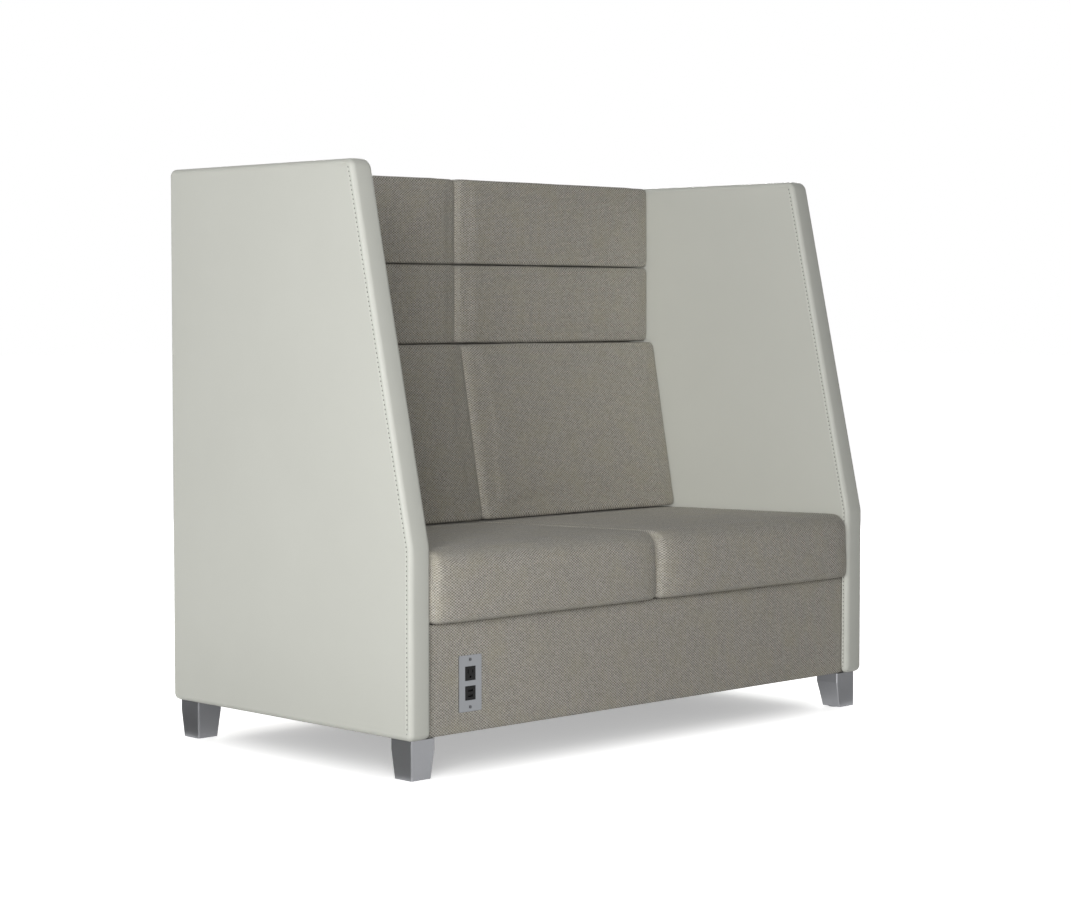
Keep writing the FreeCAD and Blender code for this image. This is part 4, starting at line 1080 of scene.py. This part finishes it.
@dataclass
class Cushion:
    """A sewn tweed cover over foam, blown out by a cloth simulation and held in its own space."""

    side: Side
    label: str = "cushion"
    body: str = FRAME_BODY
    inner: float = 0.75
    outer: float = 653.5
    front: float = 0.0
    rear: float = 100.0
    bottom: float = 0.0
    top: float = 100.0
    cell: float = 9.0
    inset: float = 5.0
    pressure: float = 4.0
    cap: float = 3.0
    shrink: float = 0.5
    slide: float = 0.2
    frames: int = 14
    end_fall: float = 9.0
    end_reach: float = 68.0
    lead: float = 4.0
    seam_depth: float = 0.4
    seam_tone: float = 0.15
    waver: float = 1.2
    waver_length: float = 170.0
    side_room: float = 0.6
    side_blend: float = 0.8
    fill: float = 0.9
    noise_shift: float = 40.0
    weave_shift: float = 0.37

    swollen: ClassVar[dict[str, np.ndarray]] = {}

    def nodes(self) -> tuple[str, ...]:
        """The nodes that the cushion stands for."""
        return (f"{self.side.label}_{self.label}_cover", f"{self.side.label}_{self.label}_foam")

    def radii(self, share: np.ndarray) -> np.ndarray:
        """The rounding at each point of the block, along x, y and z."""
        raise NotImplementedError

    def lean(self, points: np.ndarray) -> np.ndarray:
        """Turns the square block into the cushion's own side view."""
        raise NotImplementedError

    def hold(self, points: np.ndarray) -> np.ndarray:
        """Keeps the swollen cover inside the cushion's own space."""
        raise NotImplementedError

    def pinned(self, share: np.ndarray) -> np.ndarray:
        """Marks the points that rest on something."""
        raise NotImplementedError

    def bow(self, points: np.ndarray) -> np.ndarray:
        """How far the face stands before a flat one: full in the middle, falling back at both ends."""
        from_end = np.minimum(points[:, 0] - self.inner, self.outer - points[:, 0])
        return self.lead - self.end_fall * (1 - np.clip(from_end / self.end_reach, 0, 1)) ** 3

    def grid_lines(self, length: float) -> np.ndarray:
        """Places of the grid along one side of the block: close at both edges, even between."""
        near = np.array([0.0, 2.0, 4.5, 8.0, 12.5, 18.0, 25.0])
        count = max(round((length - 2 * near[-1]) / self.cell), 2)
        middle = np.linspace(near[-1], length - near[-1], count + 1)
        return np.concatenate([near[:-1], middle, length - near[-2::-1]])

    def seam_points(self, lattice: np.ndarray, counts: np.ndarray) -> np.ndarray:
        """Marks the points on the seams round both ends."""
        edge = (lattice == 0) | (lattice == counts)
        return edge[:, 0] & (edge[:, 1] | edge[:, 2])

    def block(self) -> tuple[np.ndarray, np.ndarray, np.ndarray, list, np.ndarray]:
        """Cuts the surface of a block into a grid of cells.

        Returns:
            Lattice numbers of each point, its share of each side, cells along each axis, faces, and the
            cut of the cloth.
        """
        size = np.array([self.outer - self.inner, self.rear - self.front, self.top - self.bottom])
        lines = [self.grid_lines(length) for length in size]
        counts = np.array([len(line) - 1 for line in lines])
        found: dict[tuple[int, int, int], int] = {}
        faces, weave = [], []
        length = {"bottom": 0.0, "front": size[1], "top": size[1] + size[2], "rear": 2 * size[1] + size[2]}
        panels = (("front", 1, 0), ("rear", 1, 1), ("bottom", 2, 0), ("top", 2, 1), ("end", 0, 0),
                  ("end", 0, 1))
        for panel, axis, high in panels:
            first, second = [a for a in range(3) if a != axis]
            flip = (axis == 1) != bool(high)
            for a in range(counts[first]):
                for b in range(counts[second]):
                    ring = [(a, b), (a + 1, b), (a + 1, b + 1), (a, b + 1)]
                    face = []
                    for one, two in ring if flip else ring[::-1]:
                        key = [0, 0, 0]
                        key[axis] = counts[axis] * high
                        key[first], key[second] = one, two
                        face.append(found.setdefault(tuple(int(k) for k in key), len(found)))
                        x, y, z = (line[number] for line, number in zip(lines, key))
                        run = {"front": z, "top": y, "rear": size[2] - z, "bottom": size[1] - y}
                        weave.append((y, z) if panel == "end" else (x, length[panel] + run[panel]))
                    faces.append(face)
        lattice = np.array(list(found))
        share = np.column_stack([line[lattice[:, axis]] for axis, line in enumerate(lines)]) / size
        return lattice, share, counts, faces, np.array(weave) * MM

    def start_shape(self, share: np.ndarray) -> np.ndarray:
        """The cover before it is filled: a rounded block, a little small.

        Args:
            share: places in the block, from 0 to 1.

        Returns:
            Points in millimetres.
        """
        low = np.array([self.inner, self.front, self.bottom])
        high = np.array([self.outer, self.rear, self.top])
        points = low + share * (high - low)
        radii = self.radii(share)
        core = np.clip(points, low + radii, high - radii)
        away = (points - core) / radii
        length = np.linalg.norm(away, axis=1)[:, None]
        return self.lean(core + radii * away / np.maximum(length, 1e-9))

    def swell(self, points: np.ndarray, faces: list, rest: np.ndarray) -> np.ndarray:
        """Blows the cover out with the cloth simulation, once for both sides.

        Args:
            points: the cover before it is filled.
            faces: the cover's faces.
            rest: the points that don't move.

        Returns:
            The filled cover's points.
        """
        work = make_object(f"{self.label}_stuffing", points, faces)
        normals = np.empty(len(points) * 3)
        work.data.vertex_normals.foreach_get("vector", normals)
        normals = normals.reshape(-1, 3)
        small = points - normals * np.where(rest, 0.0, self.inset)[:, None]
        work.data.vertices.foreach_set("co", (small * MM).ravel())
        group = work.vertex_groups.new(name="rest")
        group.add([int(index) for index in np.nonzero(rest)[0]], 1.0, "REPLACE")
        cloth = work.modifiers.new("stuffing", "CLOTH")
        cloth.settings.use_pressure = True
        cloth.settings.uniform_pressure_force = self.pressure
        cloth.settings.effector_weights.gravity = 0.0
        cloth.settings.vertex_group_mass = "rest"
        cloth.point_cache.frame_start = 1
        cloth.point_cache.frame_end = self.frames
        for frame in range(1, self.frames + 1):
            bpy.context.scene.frame_set(frame)
        shown = work.evaluated_get(bpy.context.evaluated_depsgraph_get())
        after = np.empty(len(points) * 3, np.float32)
        shown.data.vertices.foreach_get("co", after)
        bpy.data.objects.remove(work)
        bpy.context.scene.frame_set(1)
        move = after.reshape(-1, 3) / MM - small
        out = np.where(rest, self.inset, (move * normals).sum(1))[:, None]
        log.info("%s swells up to %.1f mm, %.1f on average", self.label, out.max(), out.mean())
        aside = (move - out * normals) * self.slide
        lift = soft_limit(out - self.inset, self.cap, self.cap / 2)
        return points + normals * np.maximum(lift, -self.shrink) + aside

    def uneven(self, points: np.ndarray) -> np.ndarray:
        """A slow unevenness of the filling, different on each side."""
        start = Vector((self.noise_shift * self.side.value, 0.0, 0.0))
        return np.array([noise.noise(Vector(point) + start) for point in points / self.waver_length])

    def build(self) -> tuple[bpy.types.Object, np.ndarray, np.ndarray]:
        """Builds the filled cover.

        Returns:
            The cushion, its points before subdivision and their lattice numbers.
        """
        lattice, share, counts, faces, weave = self.block()
        rest = self.pinned(share)
        if self.label not in Cushion.swollen:
            Cushion.swollen[self.label] = self.swell(self.start_shape(share), faces, rest)
        points = Cushion.swollen[self.label].copy()
        guide = make_object("cover_guide", points, faces)
        normals = np.empty(len(points) * 3)
        guide.data.vertex_normals.foreach_get("vector", normals)
        normals = normals.reshape(-1, 3)
        bpy.data.objects.remove(guide)
        seam = self.seam_points(lattice, counts)
        points += normals * (np.where(rest, 0, self.waver) * self.uneven(points))[:, None]
        points = self.hold(points)
        points -= normals * np.where(seam & ~rest, self.seam_depth, 0)[:, None]
        points[:, 0] *= self.side.value
        if self.side is Side.LEFT:
            faces = [face[::-1] for face in faces]
            # Cut from another place in the cloth than the right-hand cushion
            weave = weave.reshape(-1, 4, 2)[:, ::-1].reshape(-1, 2) + self.weave_shift
        name = f"{self.side.label}_{self.label}_tweed"
        rough = make_object(f"{name}_rough", points, faces, weave)
        # The seams round both ends get painted shade, standing in for the shade in their grooves
        shade_seams(rough, np.where(seam, self.seam_tone, 0.0))
        smooth = rough.modifiers.new("smooth", "SUBSURF")
        smooth.levels = smooth.render_levels = 1
        smooth.uv_smooth = "PRESERVE_BOUNDARIES"
        return bake(rough, name), points, lattice

    def trim(self, points: np.ndarray, lattice: np.ndarray) -> None:
        """Adds what is sewn to the cover, from its points and their lattice numbers."""

    def dress(self) -> None:
        """Builds the cushion, hands it to the frame and trims it."""
        piece, points, lattice = self.build()
        paint(piece, TWEED)
        settle(piece, self.body, self.nodes())
        self.trim(points, lattice)


def between(share: np.ndarray) -> np.ndarray:
    """A smooth step over the middle third, from 0 to 1."""
    t = np.clip((share - 1 / 3) * 3, 0, 1)
    return t * t * (3 - 2 * t)


@dataclass
class SeatCushion(Cushion):
    """A loose seat cushion with a rolled front, a zip along its rear and a seam low in front."""

    label: str = "seat"
    front: float = -399.0
    rear: float = 299.0
    bottom: float = 311.0
    top: float = 461.0
    rear_top: float = 444.0
    end_fall: float = 12.0
    end_reach: float = 100.0
    lead: float = 9.0
    crown: float = 4.0
    under_lumbar: float = 448.4
    lumbar_foot: float = 149.0
    foot_margin: float = 20.0
    rear_blend: float = 1.0
    top_blend: float = 1.5
    end_radius: float = 6.0
    nose_end_radius: float = 19.0
    nose_share: float = 0.14
    low_radius: tuple[float, float] = (14.0, 15.0)
    nose_radius: tuple[float, float] = (42.0, 41.0)
    rear_radius: float = 18.0
    front_stitch: PathRow = PathRow(Form.STITCH, 9.0, 6.0, 1.3, 1.3)
    stitch_stand: tuple[float, float, float] = (0.0, -0.5, 0.6)
    stitch_ends: int = 4
    zip_teeth: PathRow = PathRow(Form.BAR, 2.6, 1.3, 4.2, 1.6)
    zip_margin: float = 60.0
    zip_half: float = 4.5
    zip_points: int = 60
    tooth_stand: float = 1.3

    def __post_init__(self) -> None:
        """Lets the cushion move with its own seat."""
        self.body = f"{self.side.label}_seat"

    def radii(self, share: np.ndarray) -> np.ndarray:
        """Wide at the nose, tighter low in front, at the rear and along the ends."""
        back = between(share[:, 1])
        high = between(share[:, 2])
        nose = np.clip(1 - share[:, 1] / self.nose_share, 0, 1)
        ends = self.end_radius + (self.nose_end_radius - self.end_radius) * nose
        rolls = [(low + (wide - low) * high) * (1 - back) + self.rear_radius * back
                 for low, wide in zip(self.low_radius, self.nose_radius)]
        return np.column_stack([ends, *rolls])

    def lean(self, points: np.ndarray) -> np.ndarray:
        """Slopes the top down towards the rear."""
        share = (points[:, 1] - self.front) / (self.rear - self.front)
        high = self.top + (self.rear_top - self.top) * share
        lift = (points[:, 2] - self.bottom) / (self.top - self.bottom)
        depth = points[:, 1] - self.bow(points) * (1 - between(share))
        return np.column_stack([points[:, 0], depth, self.bottom + lift * (high - self.bottom)])

    def pinned(self, share: np.ndarray) -> np.ndarray:
        """The underside lies on the deck."""
        return share[:, 2] == 0

    def hold(self, points: np.ndarray) -> np.ndarray:
        """Holds the cover between its neighbours, and under the lumbar cushion at the rear."""
        x, y, z = points.T.copy()
        y = soft_limit(y, self.rear, self.rear_blend)
        x = soft_limit(x, self.outer + self.side_room, self.side_blend)
        x = -soft_limit(-x, -self.inner, self.side_blend)
        share = np.clip((y - self.front) / (self.rear - self.front), 0, 1)
        across = (x - (self.inner + self.outer) / 2) / ((self.outer - self.inner) / 2)
        limit = self.top + (self.rear_top - self.top) * share
        limit = limit + self.crown * (1 - across ** 4) * (1 - share ** 2)
        under = y > self.lumbar_foot - self.foot_margin
        limit = np.where(under, np.minimum(limit, self.under_lumbar), limit)
        z = soft_limit(z, limit, self.top_blend)
        return np.column_stack([x, y, np.maximum(z, self.bottom)])

    def trim(self, points: np.ndarray, lattice: np.ndarray) -> None:
        """Adds the stitches of the front seam, and the zip."""
        low_front = (lattice[:, 1] == 0) & (lattice[:, 2] == 0)
        order = np.argsort(lattice[low_front][:, 0])
        line = points[low_front][order][self.stitch_ends:-self.stitch_ends] + np.array(self.stitch_stand)
        stitches = self.front_stitch.lay(f"{self.side.label}_seat_stitches", [line], TWEED_THREAD)
        settle(stitches, self.body)
        self.add_zip()

    def add_zip(self) -> None:
        """Builds the zip: a woven tape with moulded teeth along its middle."""
        side = self.side
        middle = (self.bottom + self.rear_top) / 2
        ends = sorted(side.value * x for x in (self.inner + self.zip_margin, self.outer - self.zip_margin))
        across = np.linspace(*ends, self.zip_points)
        profile = np.array([[-1.0, -self.zip_half], [0.5, -self.zip_half], [0.9, -self.zip_half + 1],
                            [0.9, self.zip_half - 1], [0.5, self.zip_half], [-1.0, self.zip_half]])
        count = len(profile)
        points = np.concatenate([np.column_stack([np.full(count, x), self.rear + profile[:, 0],
                                                  middle + profile[:, 1]]) for x in across])
        tape = make_object(f"{side.label}_zip_tape", points, tube_faces(len(across), count))
        close_mesh(tape)
        paint(tape, HOOK_TAPE)
        settle(tape, self.body, (f"{side.label}_seat_zip",))
        behind = np.full(len(across), self.rear + self.tooth_stand)
        line = np.column_stack([across, behind, np.full(len(across), middle)])
        teeth = self.zip_teeth.lay(f"{side.label}_zip_teeth", [line], NYLON)
        settle(teeth, self.body)


@dataclass
class BackCushion(Cushion):
    """A fixed back cushion, bolted flat to the back board."""

    foot: float = 247.0
    head: float = 247.0
    rear: float = 366.0
    head_room: float = 0.95
    foot_room: float = 0.95
    row_blend: float = 0.3
    edge_fall: float = 1.6
    edge_reach: float = 20.0
    end_radius: float = 15.0
    face_radius: float = 10.0
    row_radius: float = 5.0
    corner_radius: float = 14.0
    corner_reach: float = 23.0
    rear_radius: float = 0.8

    def __post_init__(self) -> None:
        """Takes the block's front from the foot, the further forward of the two."""
        self.front = self.foot

    def radii(self, share: np.ndarray) -> np.ndarray:
        """Rounder at the ends, tighter along the top and the bottom."""
        back = between(share[:, 1])[:, None]
        from_end = np.minimum(share[:, 0], 1 - share[:, 0]) * (self.outer - self.inner)
        end = np.clip(1 - from_end / self.corner_reach, 0, 1) ** 2
        row = self.row_radius + (self.corner_radius - self.row_radius) * end
        plain = np.ones_like(row)
        front = np.column_stack([self.end_radius * plain, self.face_radius * plain, row])
        return front + (self.rear_radius - front) * back

    def lean(self, points: np.ndarray) -> np.ndarray:
        """Leans the face back from the foot to the head."""
        rise = (points[:, 2] - self.bottom) / (self.top - self.bottom)
        face = self.foot + (self.head - self.foot) * rise
        share = (points[:, 1] - self.foot) / (self.rear - self.foot)
        edge = np.minimum(points[:, 2] - self.bottom, self.top - points[:, 2])
        edge = np.clip(edge / self.edge_reach, 0, 1)
        face = face - self.bow(points) + self.edge_fall * (1 - edge) ** 2
        return np.column_stack([points[:, 0], face + share * (self.rear - face), points[:, 2]])

    def pinned(self, share: np.ndarray) -> np.ndarray:
        """The rear lies on the back board."""
        return share[:, 1] == 1

    def hold(self, points: np.ndarray) -> np.ndarray:
        """Holds the cover between its neighbours."""
        x, y, z = points.T.copy()
        x = soft_limit(x, self.outer + self.side_room, self.side_blend)
        x = -soft_limit(-x, -self.inner, self.side_blend)
        z = soft_limit(z, self.top + self.head_room, self.row_blend)
        z = -soft_limit(-z, -self.bottom + self.foot_room, self.row_blend)
        return np.column_stack([x, np.minimum(y, self.rear), z])


@dataclass
class Underside:
    """The stapled dust cover and the deck cloth over the springs."""

    half_width: float = 667.3
    front: float = -366.0
    rear: float = 363.0
    level: float = 85.0
    thickness: float = 1.0
    sag: float = 1.6
    notch_inner: float = 598.0
    notch_half: float = 24.2
    leg_lines: tuple[float, float] = (-346.75, 354.75)
    sag_start: float = 15.0
    sag_reach: float = 60.0
    ripple: float = 0.2
    ripple_lengths: tuple[float, float] = (31.0, 27.0)
    cover_lines: tuple[int, int] = (68, 38)
    deck_lines: tuple[int, int] = (110, 60)
    staple_points: int = 90
    staple: PathRow = PathRow(Form.BAR, 62.0, 11.0, 1.2, 0.9)
    staple_inset: float = 9.0
    staple_margin: float = 20.0
    staple_sink: float = 0.2
    spring_pitch: float = 79.0
    dip_depth: float = 0.55
    dip_reach: float = 50.0

    def sheet(self, name: str, across: np.ndarray, deep: np.ndarray, top: np.ndarray, bottom: np.ndarray,
              keep: np.ndarray) -> bpy.types.Object:
        """Builds a thin closed sheet over a grid.

        Args:
            name: the piece's name.
            across: the grid's places along x.
            deep: the grid's places along y.
            top: heights of the upper side.
            bottom: heights of the lower side.
            keep: which cells are cloth.

        Returns:
            The sheet.
        """
        grid_x, grid_y = np.meshgrid(across, deep)
        faces = slab_faces(grid_cells(*grid_x.shape)[keep], grid_x.size)
        points = np.concatenate([np.column_stack([grid_x.ravel(), grid_y.ravel(), side.ravel()])
                                 for side in (top, bottom)])
        piece = make_object(name, points, faces)
        work = bmesh.new()
        work.from_mesh(piece.data)
        bmesh.ops.delete(work, geom=[v for v in work.verts if not v.link_faces], context="VERTS")
        work.to_mesh(piece.data)
        work.free()
        close_mesh(piece)
        return piece

    def dust_cover(self) -> None:
        """Stretches the dust cover under the base, notched round the leg plates, and staples it."""
        even = np.linspace(-self.half_width, self.half_width, self.cover_lines[0])
        across = np.unique(np.concatenate([even, [-self.notch_inner, self.notch_inner]]).round(2))
        cuts = [line + sign * self.notch_half for line in self.leg_lines for sign in (-1, 1)]
        cuts = [cut for cut in cuts if self.front < cut < self.rear]
        even = np.linspace(self.front, self.rear, self.cover_lines[1])
        deep = np.unique(np.concatenate([even, cuts]).round(2))
        middle_x = (across[:-1] + across[1:]) / 2
        middle_y = (deep[:-1] + deep[1:]) / 2
        near_leg = np.min(np.abs(middle_y[:, None] - np.array(self.leg_lines)), axis=1) < self.notch_half
        keep = ~(near_leg[:, None] & (np.abs(middle_x) > self.notch_inner)[None])
        grid_x, grid_y = np.meshgrid(across, deep)
        edge = np.minimum(self.half_width - np.abs(grid_x),
                          np.minimum(grid_y - self.front, self.rear - grid_y))
        droop = self.sag * (1 - np.exp(-np.maximum(edge - self.sag_start, 0) / self.sag_reach))
        waves = np.sin(grid_x / self.ripple_lengths[0]) * np.sin(grid_y / self.ripple_lengths[1])
        droop = droop * (1 - self.ripple + self.ripple * waves)
        piece = self.sheet("dust_cover_cloth", across, deep, self.level + self.thickness - droop,
                           self.level - droop, keep)
        paint(piece, BLACK_CLOTH)
        settle(piece, FRAME_BODY, ("dust_cover",))
        reach = self.notch_inner - self.staple_margin
        along = np.linspace(-reach, reach, self.staple_points)
        low = np.full(len(along), self.level - self.staple_sink)
        lines = [np.column_stack([along, np.full(len(along), y), low])
                 for y in (self.front + self.staple_inset, self.rear - self.staple_inset)]
        staples = self.staple.lay("dust_cover_staples", lines, ZINC)
        settle(staples, FRAME_BODY)

    def deck_cloth(self) -> None:
        """Lays the deck cloth, with a slight dip between the springs."""
        low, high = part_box("deck_cloth")
        low, high = np.array(low) / MM, np.array(high) / MM
        across = np.linspace(low[0], high[0], self.deck_lines[0])
        deep = np.linspace(low[1], high[1], self.deck_lines[1])
        grid_x, grid_y = np.meshgrid(across, deep)
        edge = np.minimum(np.minimum(grid_x - low[0], high[0] - grid_x),
                          np.minimum(grid_y - low[1], high[1] - grid_y))
        waves = 0.5 - 0.5 * np.cos(math.tau * grid_x / self.spring_pitch)
        dips = self.dip_depth * (1 - np.exp(-edge / self.dip_reach)) * waves
        piece = self.sheet("deck_cloth_woven", across, deep, high[2] - dips, low[2] - dips,
                           np.ones((len(deep) - 1, len(across) - 1), bool))
        paint(piece, BLACK_CLOTH)
        settle(piece, FRAME_BODY, ("deck_cloth",))

    def dress(self) -> None:
        """Builds both cloths."""
        self.dust_cover()
        self.deck_cloth()


@dataclass
class CarriedNodes:
    """The solids that keep their own shape and get a finish."""

    nodes: dict

    def plan(self) -> dict[Finish, tuple[str, ...]]:
        """Which finish each node gets."""
        corners = [f"{end}_{side.label}" for end in ("front", "rear") for side in Side]
        sides = [side.label for side in Side]
        return {
            CAST_LEG: tuple(f"{corner}_leg" for corner in corners),
            NYLON: tuple(f"{corner}_glide" for corner in corners),
            BRUSHED_PLATE: ("power_plate",),
            BLACK_MODULE: ("power_outlet", "power_charger"),
            GREY_BOX: ("power_box", "cable_gland"),
            SCREW_STEEL: ("power_screws",),
            ZINC: ("seat_springs", "spring_clips", "frame_bolts", "cushion_bolts",
                   "threaded_inserts", "leg_plates", "leg_plate_screws", "leg_studs"),
            HOOK_TAPE: ("hook_strips",),
            PLYWOOD: ("back_panel_board", "cushion_backers", "centre_rail", "corner_blocks", "front_rail",
                      "rear_rail", *(f"{side}_side_rail" for side in sides),
                      *(f"{side}_wing_core" for side in sides)),
        }

    def dress(self) -> None:
        """Gives each node its finish."""
        for finish, names in self.plan().items():
            for name in names:
                paint(self.nodes[name], finish)
                log.info("%s: %s", name, finish.name)


@dataclass(frozen=True)
class SoftBox:
    """A soft lamp that faces a point, in metres and watts."""

    name: str
    place: tuple[float, float, float]
    aim: tuple[float, float, float]
    size: tuple[float, float]
    power: float
    shadows: bool = True

    def hang(self) -> None:
        """Puts the lamp in the scene."""
        light = bpy.data.lights.new(self.name, "AREA")
        light.shape = "RECTANGLE"
        light.size, light.size_y = self.size
        light.energy = self.power
        light.use_shadow = self.shadows
        made = bpy.data.objects.new(self.name, light)
        made.location = self.place
        made.rotation_euler = (Vector(self.aim) - Vector(self.place)).to_track_quat("-Z", "Y").to_euler()
        bpy.context.scene.collection.objects.link(made)


@dataclass(frozen=True)
class Card:
    """A grey card, bent up along its far edge, that only metal shows, as studios do; in metres."""

    name: str
    x: tuple[float, float]
    y: tuple[float, float]
    z: tuple[float, float]
    finish: Finish

    def stand(self) -> None:
        """Puts the card on the floor."""
        (near, far), (front, rear), (low, high) = self.x, self.y, self.z
        mesh = bpy.data.meshes.new(self.name)
        mesh.from_pydata([(near, front, low), (far, front, low), (far, rear, low), (near, rear, low),
                          (far, front, high), (far, rear, high)], [], [(0, 1, 2, 3), (1, 4, 5, 2)])
        made = bpy.data.objects.new(self.name, mesh)
        bpy.context.scene.collection.objects.link(made)
        paint(made, self.finish)
        made.visible_camera = made.visible_diffuse = False
        made.visible_transmission = made.visible_shadow = False


@dataclass
class Studio:
    """A white studio: pale floor with a painted shadow under the sofa, soft boxes on the left, behind and
    above, grey cards for the metal.
    """

    focal: float = 84.37
    stand: tuple[float, float, float] = (-3.9653, -4.0813, 0.9364)
    heading: float = 44.272
    tilt: float = 3.188
    lamps: tuple[SoftBox, ...] = (
        SoftBox("key", (-3.7, -3.1, 1.4), (0.0, -0.1, 0.65), (2.4, 2.0), 138.0),
        SoftBox("side", (-9.0, -0.8, 1.0), (0.0, 0.0, 0.65), (4.0, 4.0), 180.0, shadows=False),
        SoftBox("rear", (3.6, 3.4, 2.0), (0.0, 0.1, 0.6), (2.6, 2.2), 220.0),
        SoftBox("top", (0.0, 0.2, 4.2), (0.0, 0.0, 0.0), (3.0, 3.0), 14.0))
    floor_half: float = 40.0
    floor_colour: str = "e9e9e8"
    # How far the floor is lifted towards white at the heart of its painted shadow; shadow_base and
    # shadow_reach give the shadow's box and its soft edge
    floor_lift: float = 0.4
    sky_light: float = 0.03
    shadow_base: tuple[float, float, float] = (0.58, 0.26, 0.0)
    shadow_reach: float = 0.22
    cards: tuple[Card, ...] = (
        Card("front_left_card", (-0.715, -0.98), (-0.6, 0.12), (0.002, 0.16), PALE_CARD),
        Card("rear_left_card", (-0.715, -0.98), (0.12, 0.9), (0.002, 0.16), GREY_CARD),
        Card("front_right_card", (0.6, 1.25), (-0.95, -0.4), (0.002, 0.16), PALE_CARD))

    def camera(self) -> None:
        """Places the camera where the photograph was taken from."""
        lens = bpy.data.cameras.new("camera")
        lens.lens = self.focal
        lens.sensor_width = 36.0
        made = bpy.data.objects.new("camera", lens)
        made.location = self.stand
        made.rotation_euler = (math.radians(90 - self.tilt), 0, math.radians(-self.heading))
        bpy.context.scene.collection.objects.link(made)
        bpy.context.scene.camera = made

    @staticmethod
    def seen(tree: bpy.types.NodeTree) -> bpy.types.NodeSocket:
        """The share of a ray that the eye, a gloss or a glass sees, from 0 to 1."""
        rays = add(tree, "ShaderNodeLightPath").outputs
        gloss = add(tree, "ShaderNodeMath", {0: rays["Is Camera Ray"], 1: rays["Is Glossy Ray"]},
                    operation="MAXIMUM").outputs[0]
        return add(tree, "ShaderNodeMath", {0: gloss, 1: rays["Is Transmission Ray"]},
                   operation="MAXIMUM").outputs[0]

    def sky(self) -> None:
        """Makes the background white to the eye, and a plain weak light to the object."""
        world = bpy.data.worlds.new("studio")
        world.use_nodes = True
        bpy.context.scene.world = world
        tree = world.node_tree
        level = add(tree, "ShaderNodeMapRange", {"Value": self.seen(tree), "To Min": self.sky_light,
                                                 "To Max": 1.0}).outputs["Result"]
        ground = tree.nodes["Background"]
        ground.inputs["Color"].default_value = (1.0, 1.0, 1.0, 1.0)
        tree.links.new(level, ground.inputs["Strength"])

    def floor(self) -> None:
        """Lays a pale floor that keeps the lamps' shadows, adds a painted shadow in a box under the sofa
        and goes over into the white beyond it.
        """
        size = self.floor_half
        mesh = bpy.data.meshes.new("studio_floor")
        mesh.from_pydata([(-size, -size, 0), (size, -size, 0), (size, size, 0), (-size, size, 0)], [],
                         [(0, 1, 2, 3)])
        made = bpy.data.objects.new("studio_floor", mesh)
        bpy.context.scene.collection.objects.link(made)
        paper = bpy.data.materials.new("backdrop_paper")
        paper.use_nodes = True
        tree = paper.node_tree
        shader = tree.nodes["Principled BSDF"]
        shader.inputs["Base Color"].default_value = linear(self.floor_colour)
        shader.inputs["Roughness"].default_value = 0.9
        shader.inputs["Specular IOR Level"].default_value = 0.0
        shader.inputs["Emission Color"].default_value = (1.0, 1.0, 1.0, 1.0)
        place = add(tree, "ShaderNodeTexCoord").outputs["Object"]
        half = add(tree, "ShaderNodeVectorMath", {0: place}, operation="ABSOLUTE").outputs["Vector"]
        past = add(tree, "ShaderNodeVectorMath", {0: half, 1: self.shadow_base}, operation="SUBTRACT")
        outside = add(tree, "ShaderNodeVectorMath", {0: past.outputs["Vector"], 1: (0.0, 0.0, 0.0)},
                      operation="MAXIMUM")
        away = add(tree, "ShaderNodeVectorMath", {0: outside.outputs["Vector"]}, operation="LENGTH")
        # Painted shadow: the lift is lowest in a box under the sofa and rises to full white beyond it
        painted_shadow_ramp = add(tree, "ShaderNodeMapRange", {
            "Value": away.outputs["Value"], "From Max": self.shadow_reach, "To Min": self.floor_lift,
            "To Max": 1.0}, interpolation_type="SMOOTHSTEP").outputs["Result"]
        lift = add(tree, "ShaderNodeMath", {0: self.seen(tree), 1: painted_shadow_ramp}, operation="MULTIPLY").outputs[0]
        tree.links.new(lift, shader.inputs["Emission Strength"])
        made.data.materials.append(paper)

    def build(self) -> None:
        """Sets up the whole studio."""
        bpy.context.scene.view_settings.view_transform = "Standard"
        self.camera()
        self.sky()
        self.floor()
        for card in self.cards:
            card.stand()
        for lamp in self.lamps:
            lamp.hang()


def main() -> None:
    """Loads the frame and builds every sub-assembly."""
    logging.basicConfig(level=logging.INFO, format="%(name)s: %(message)s")
    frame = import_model()
    Studio().build()
    CarriedNodes(frame["nodes"]).dress()
    for side in (Side.RIGHT, Side.LEFT):
        Wing(side).dress()
        SeatCushion(side).dress()
        BackCushion(side, "lumbar_cushion", bottom=452.0, top=857.0, foot=149.0, head=226.0).dress()
        BackCushion(side, "middle_cushion", bottom=859.0, top=1042.0, cell=7.0).dress()
        BackCushion(side, "upper_cushion", bottom=1044.0, top=1241.0, cell=7.0,
                    head_room=2.5).dress()
    BackPanel().dress()
    Apron().dress()
    Underside().dress()


if __name__ == "__main__":
    main()
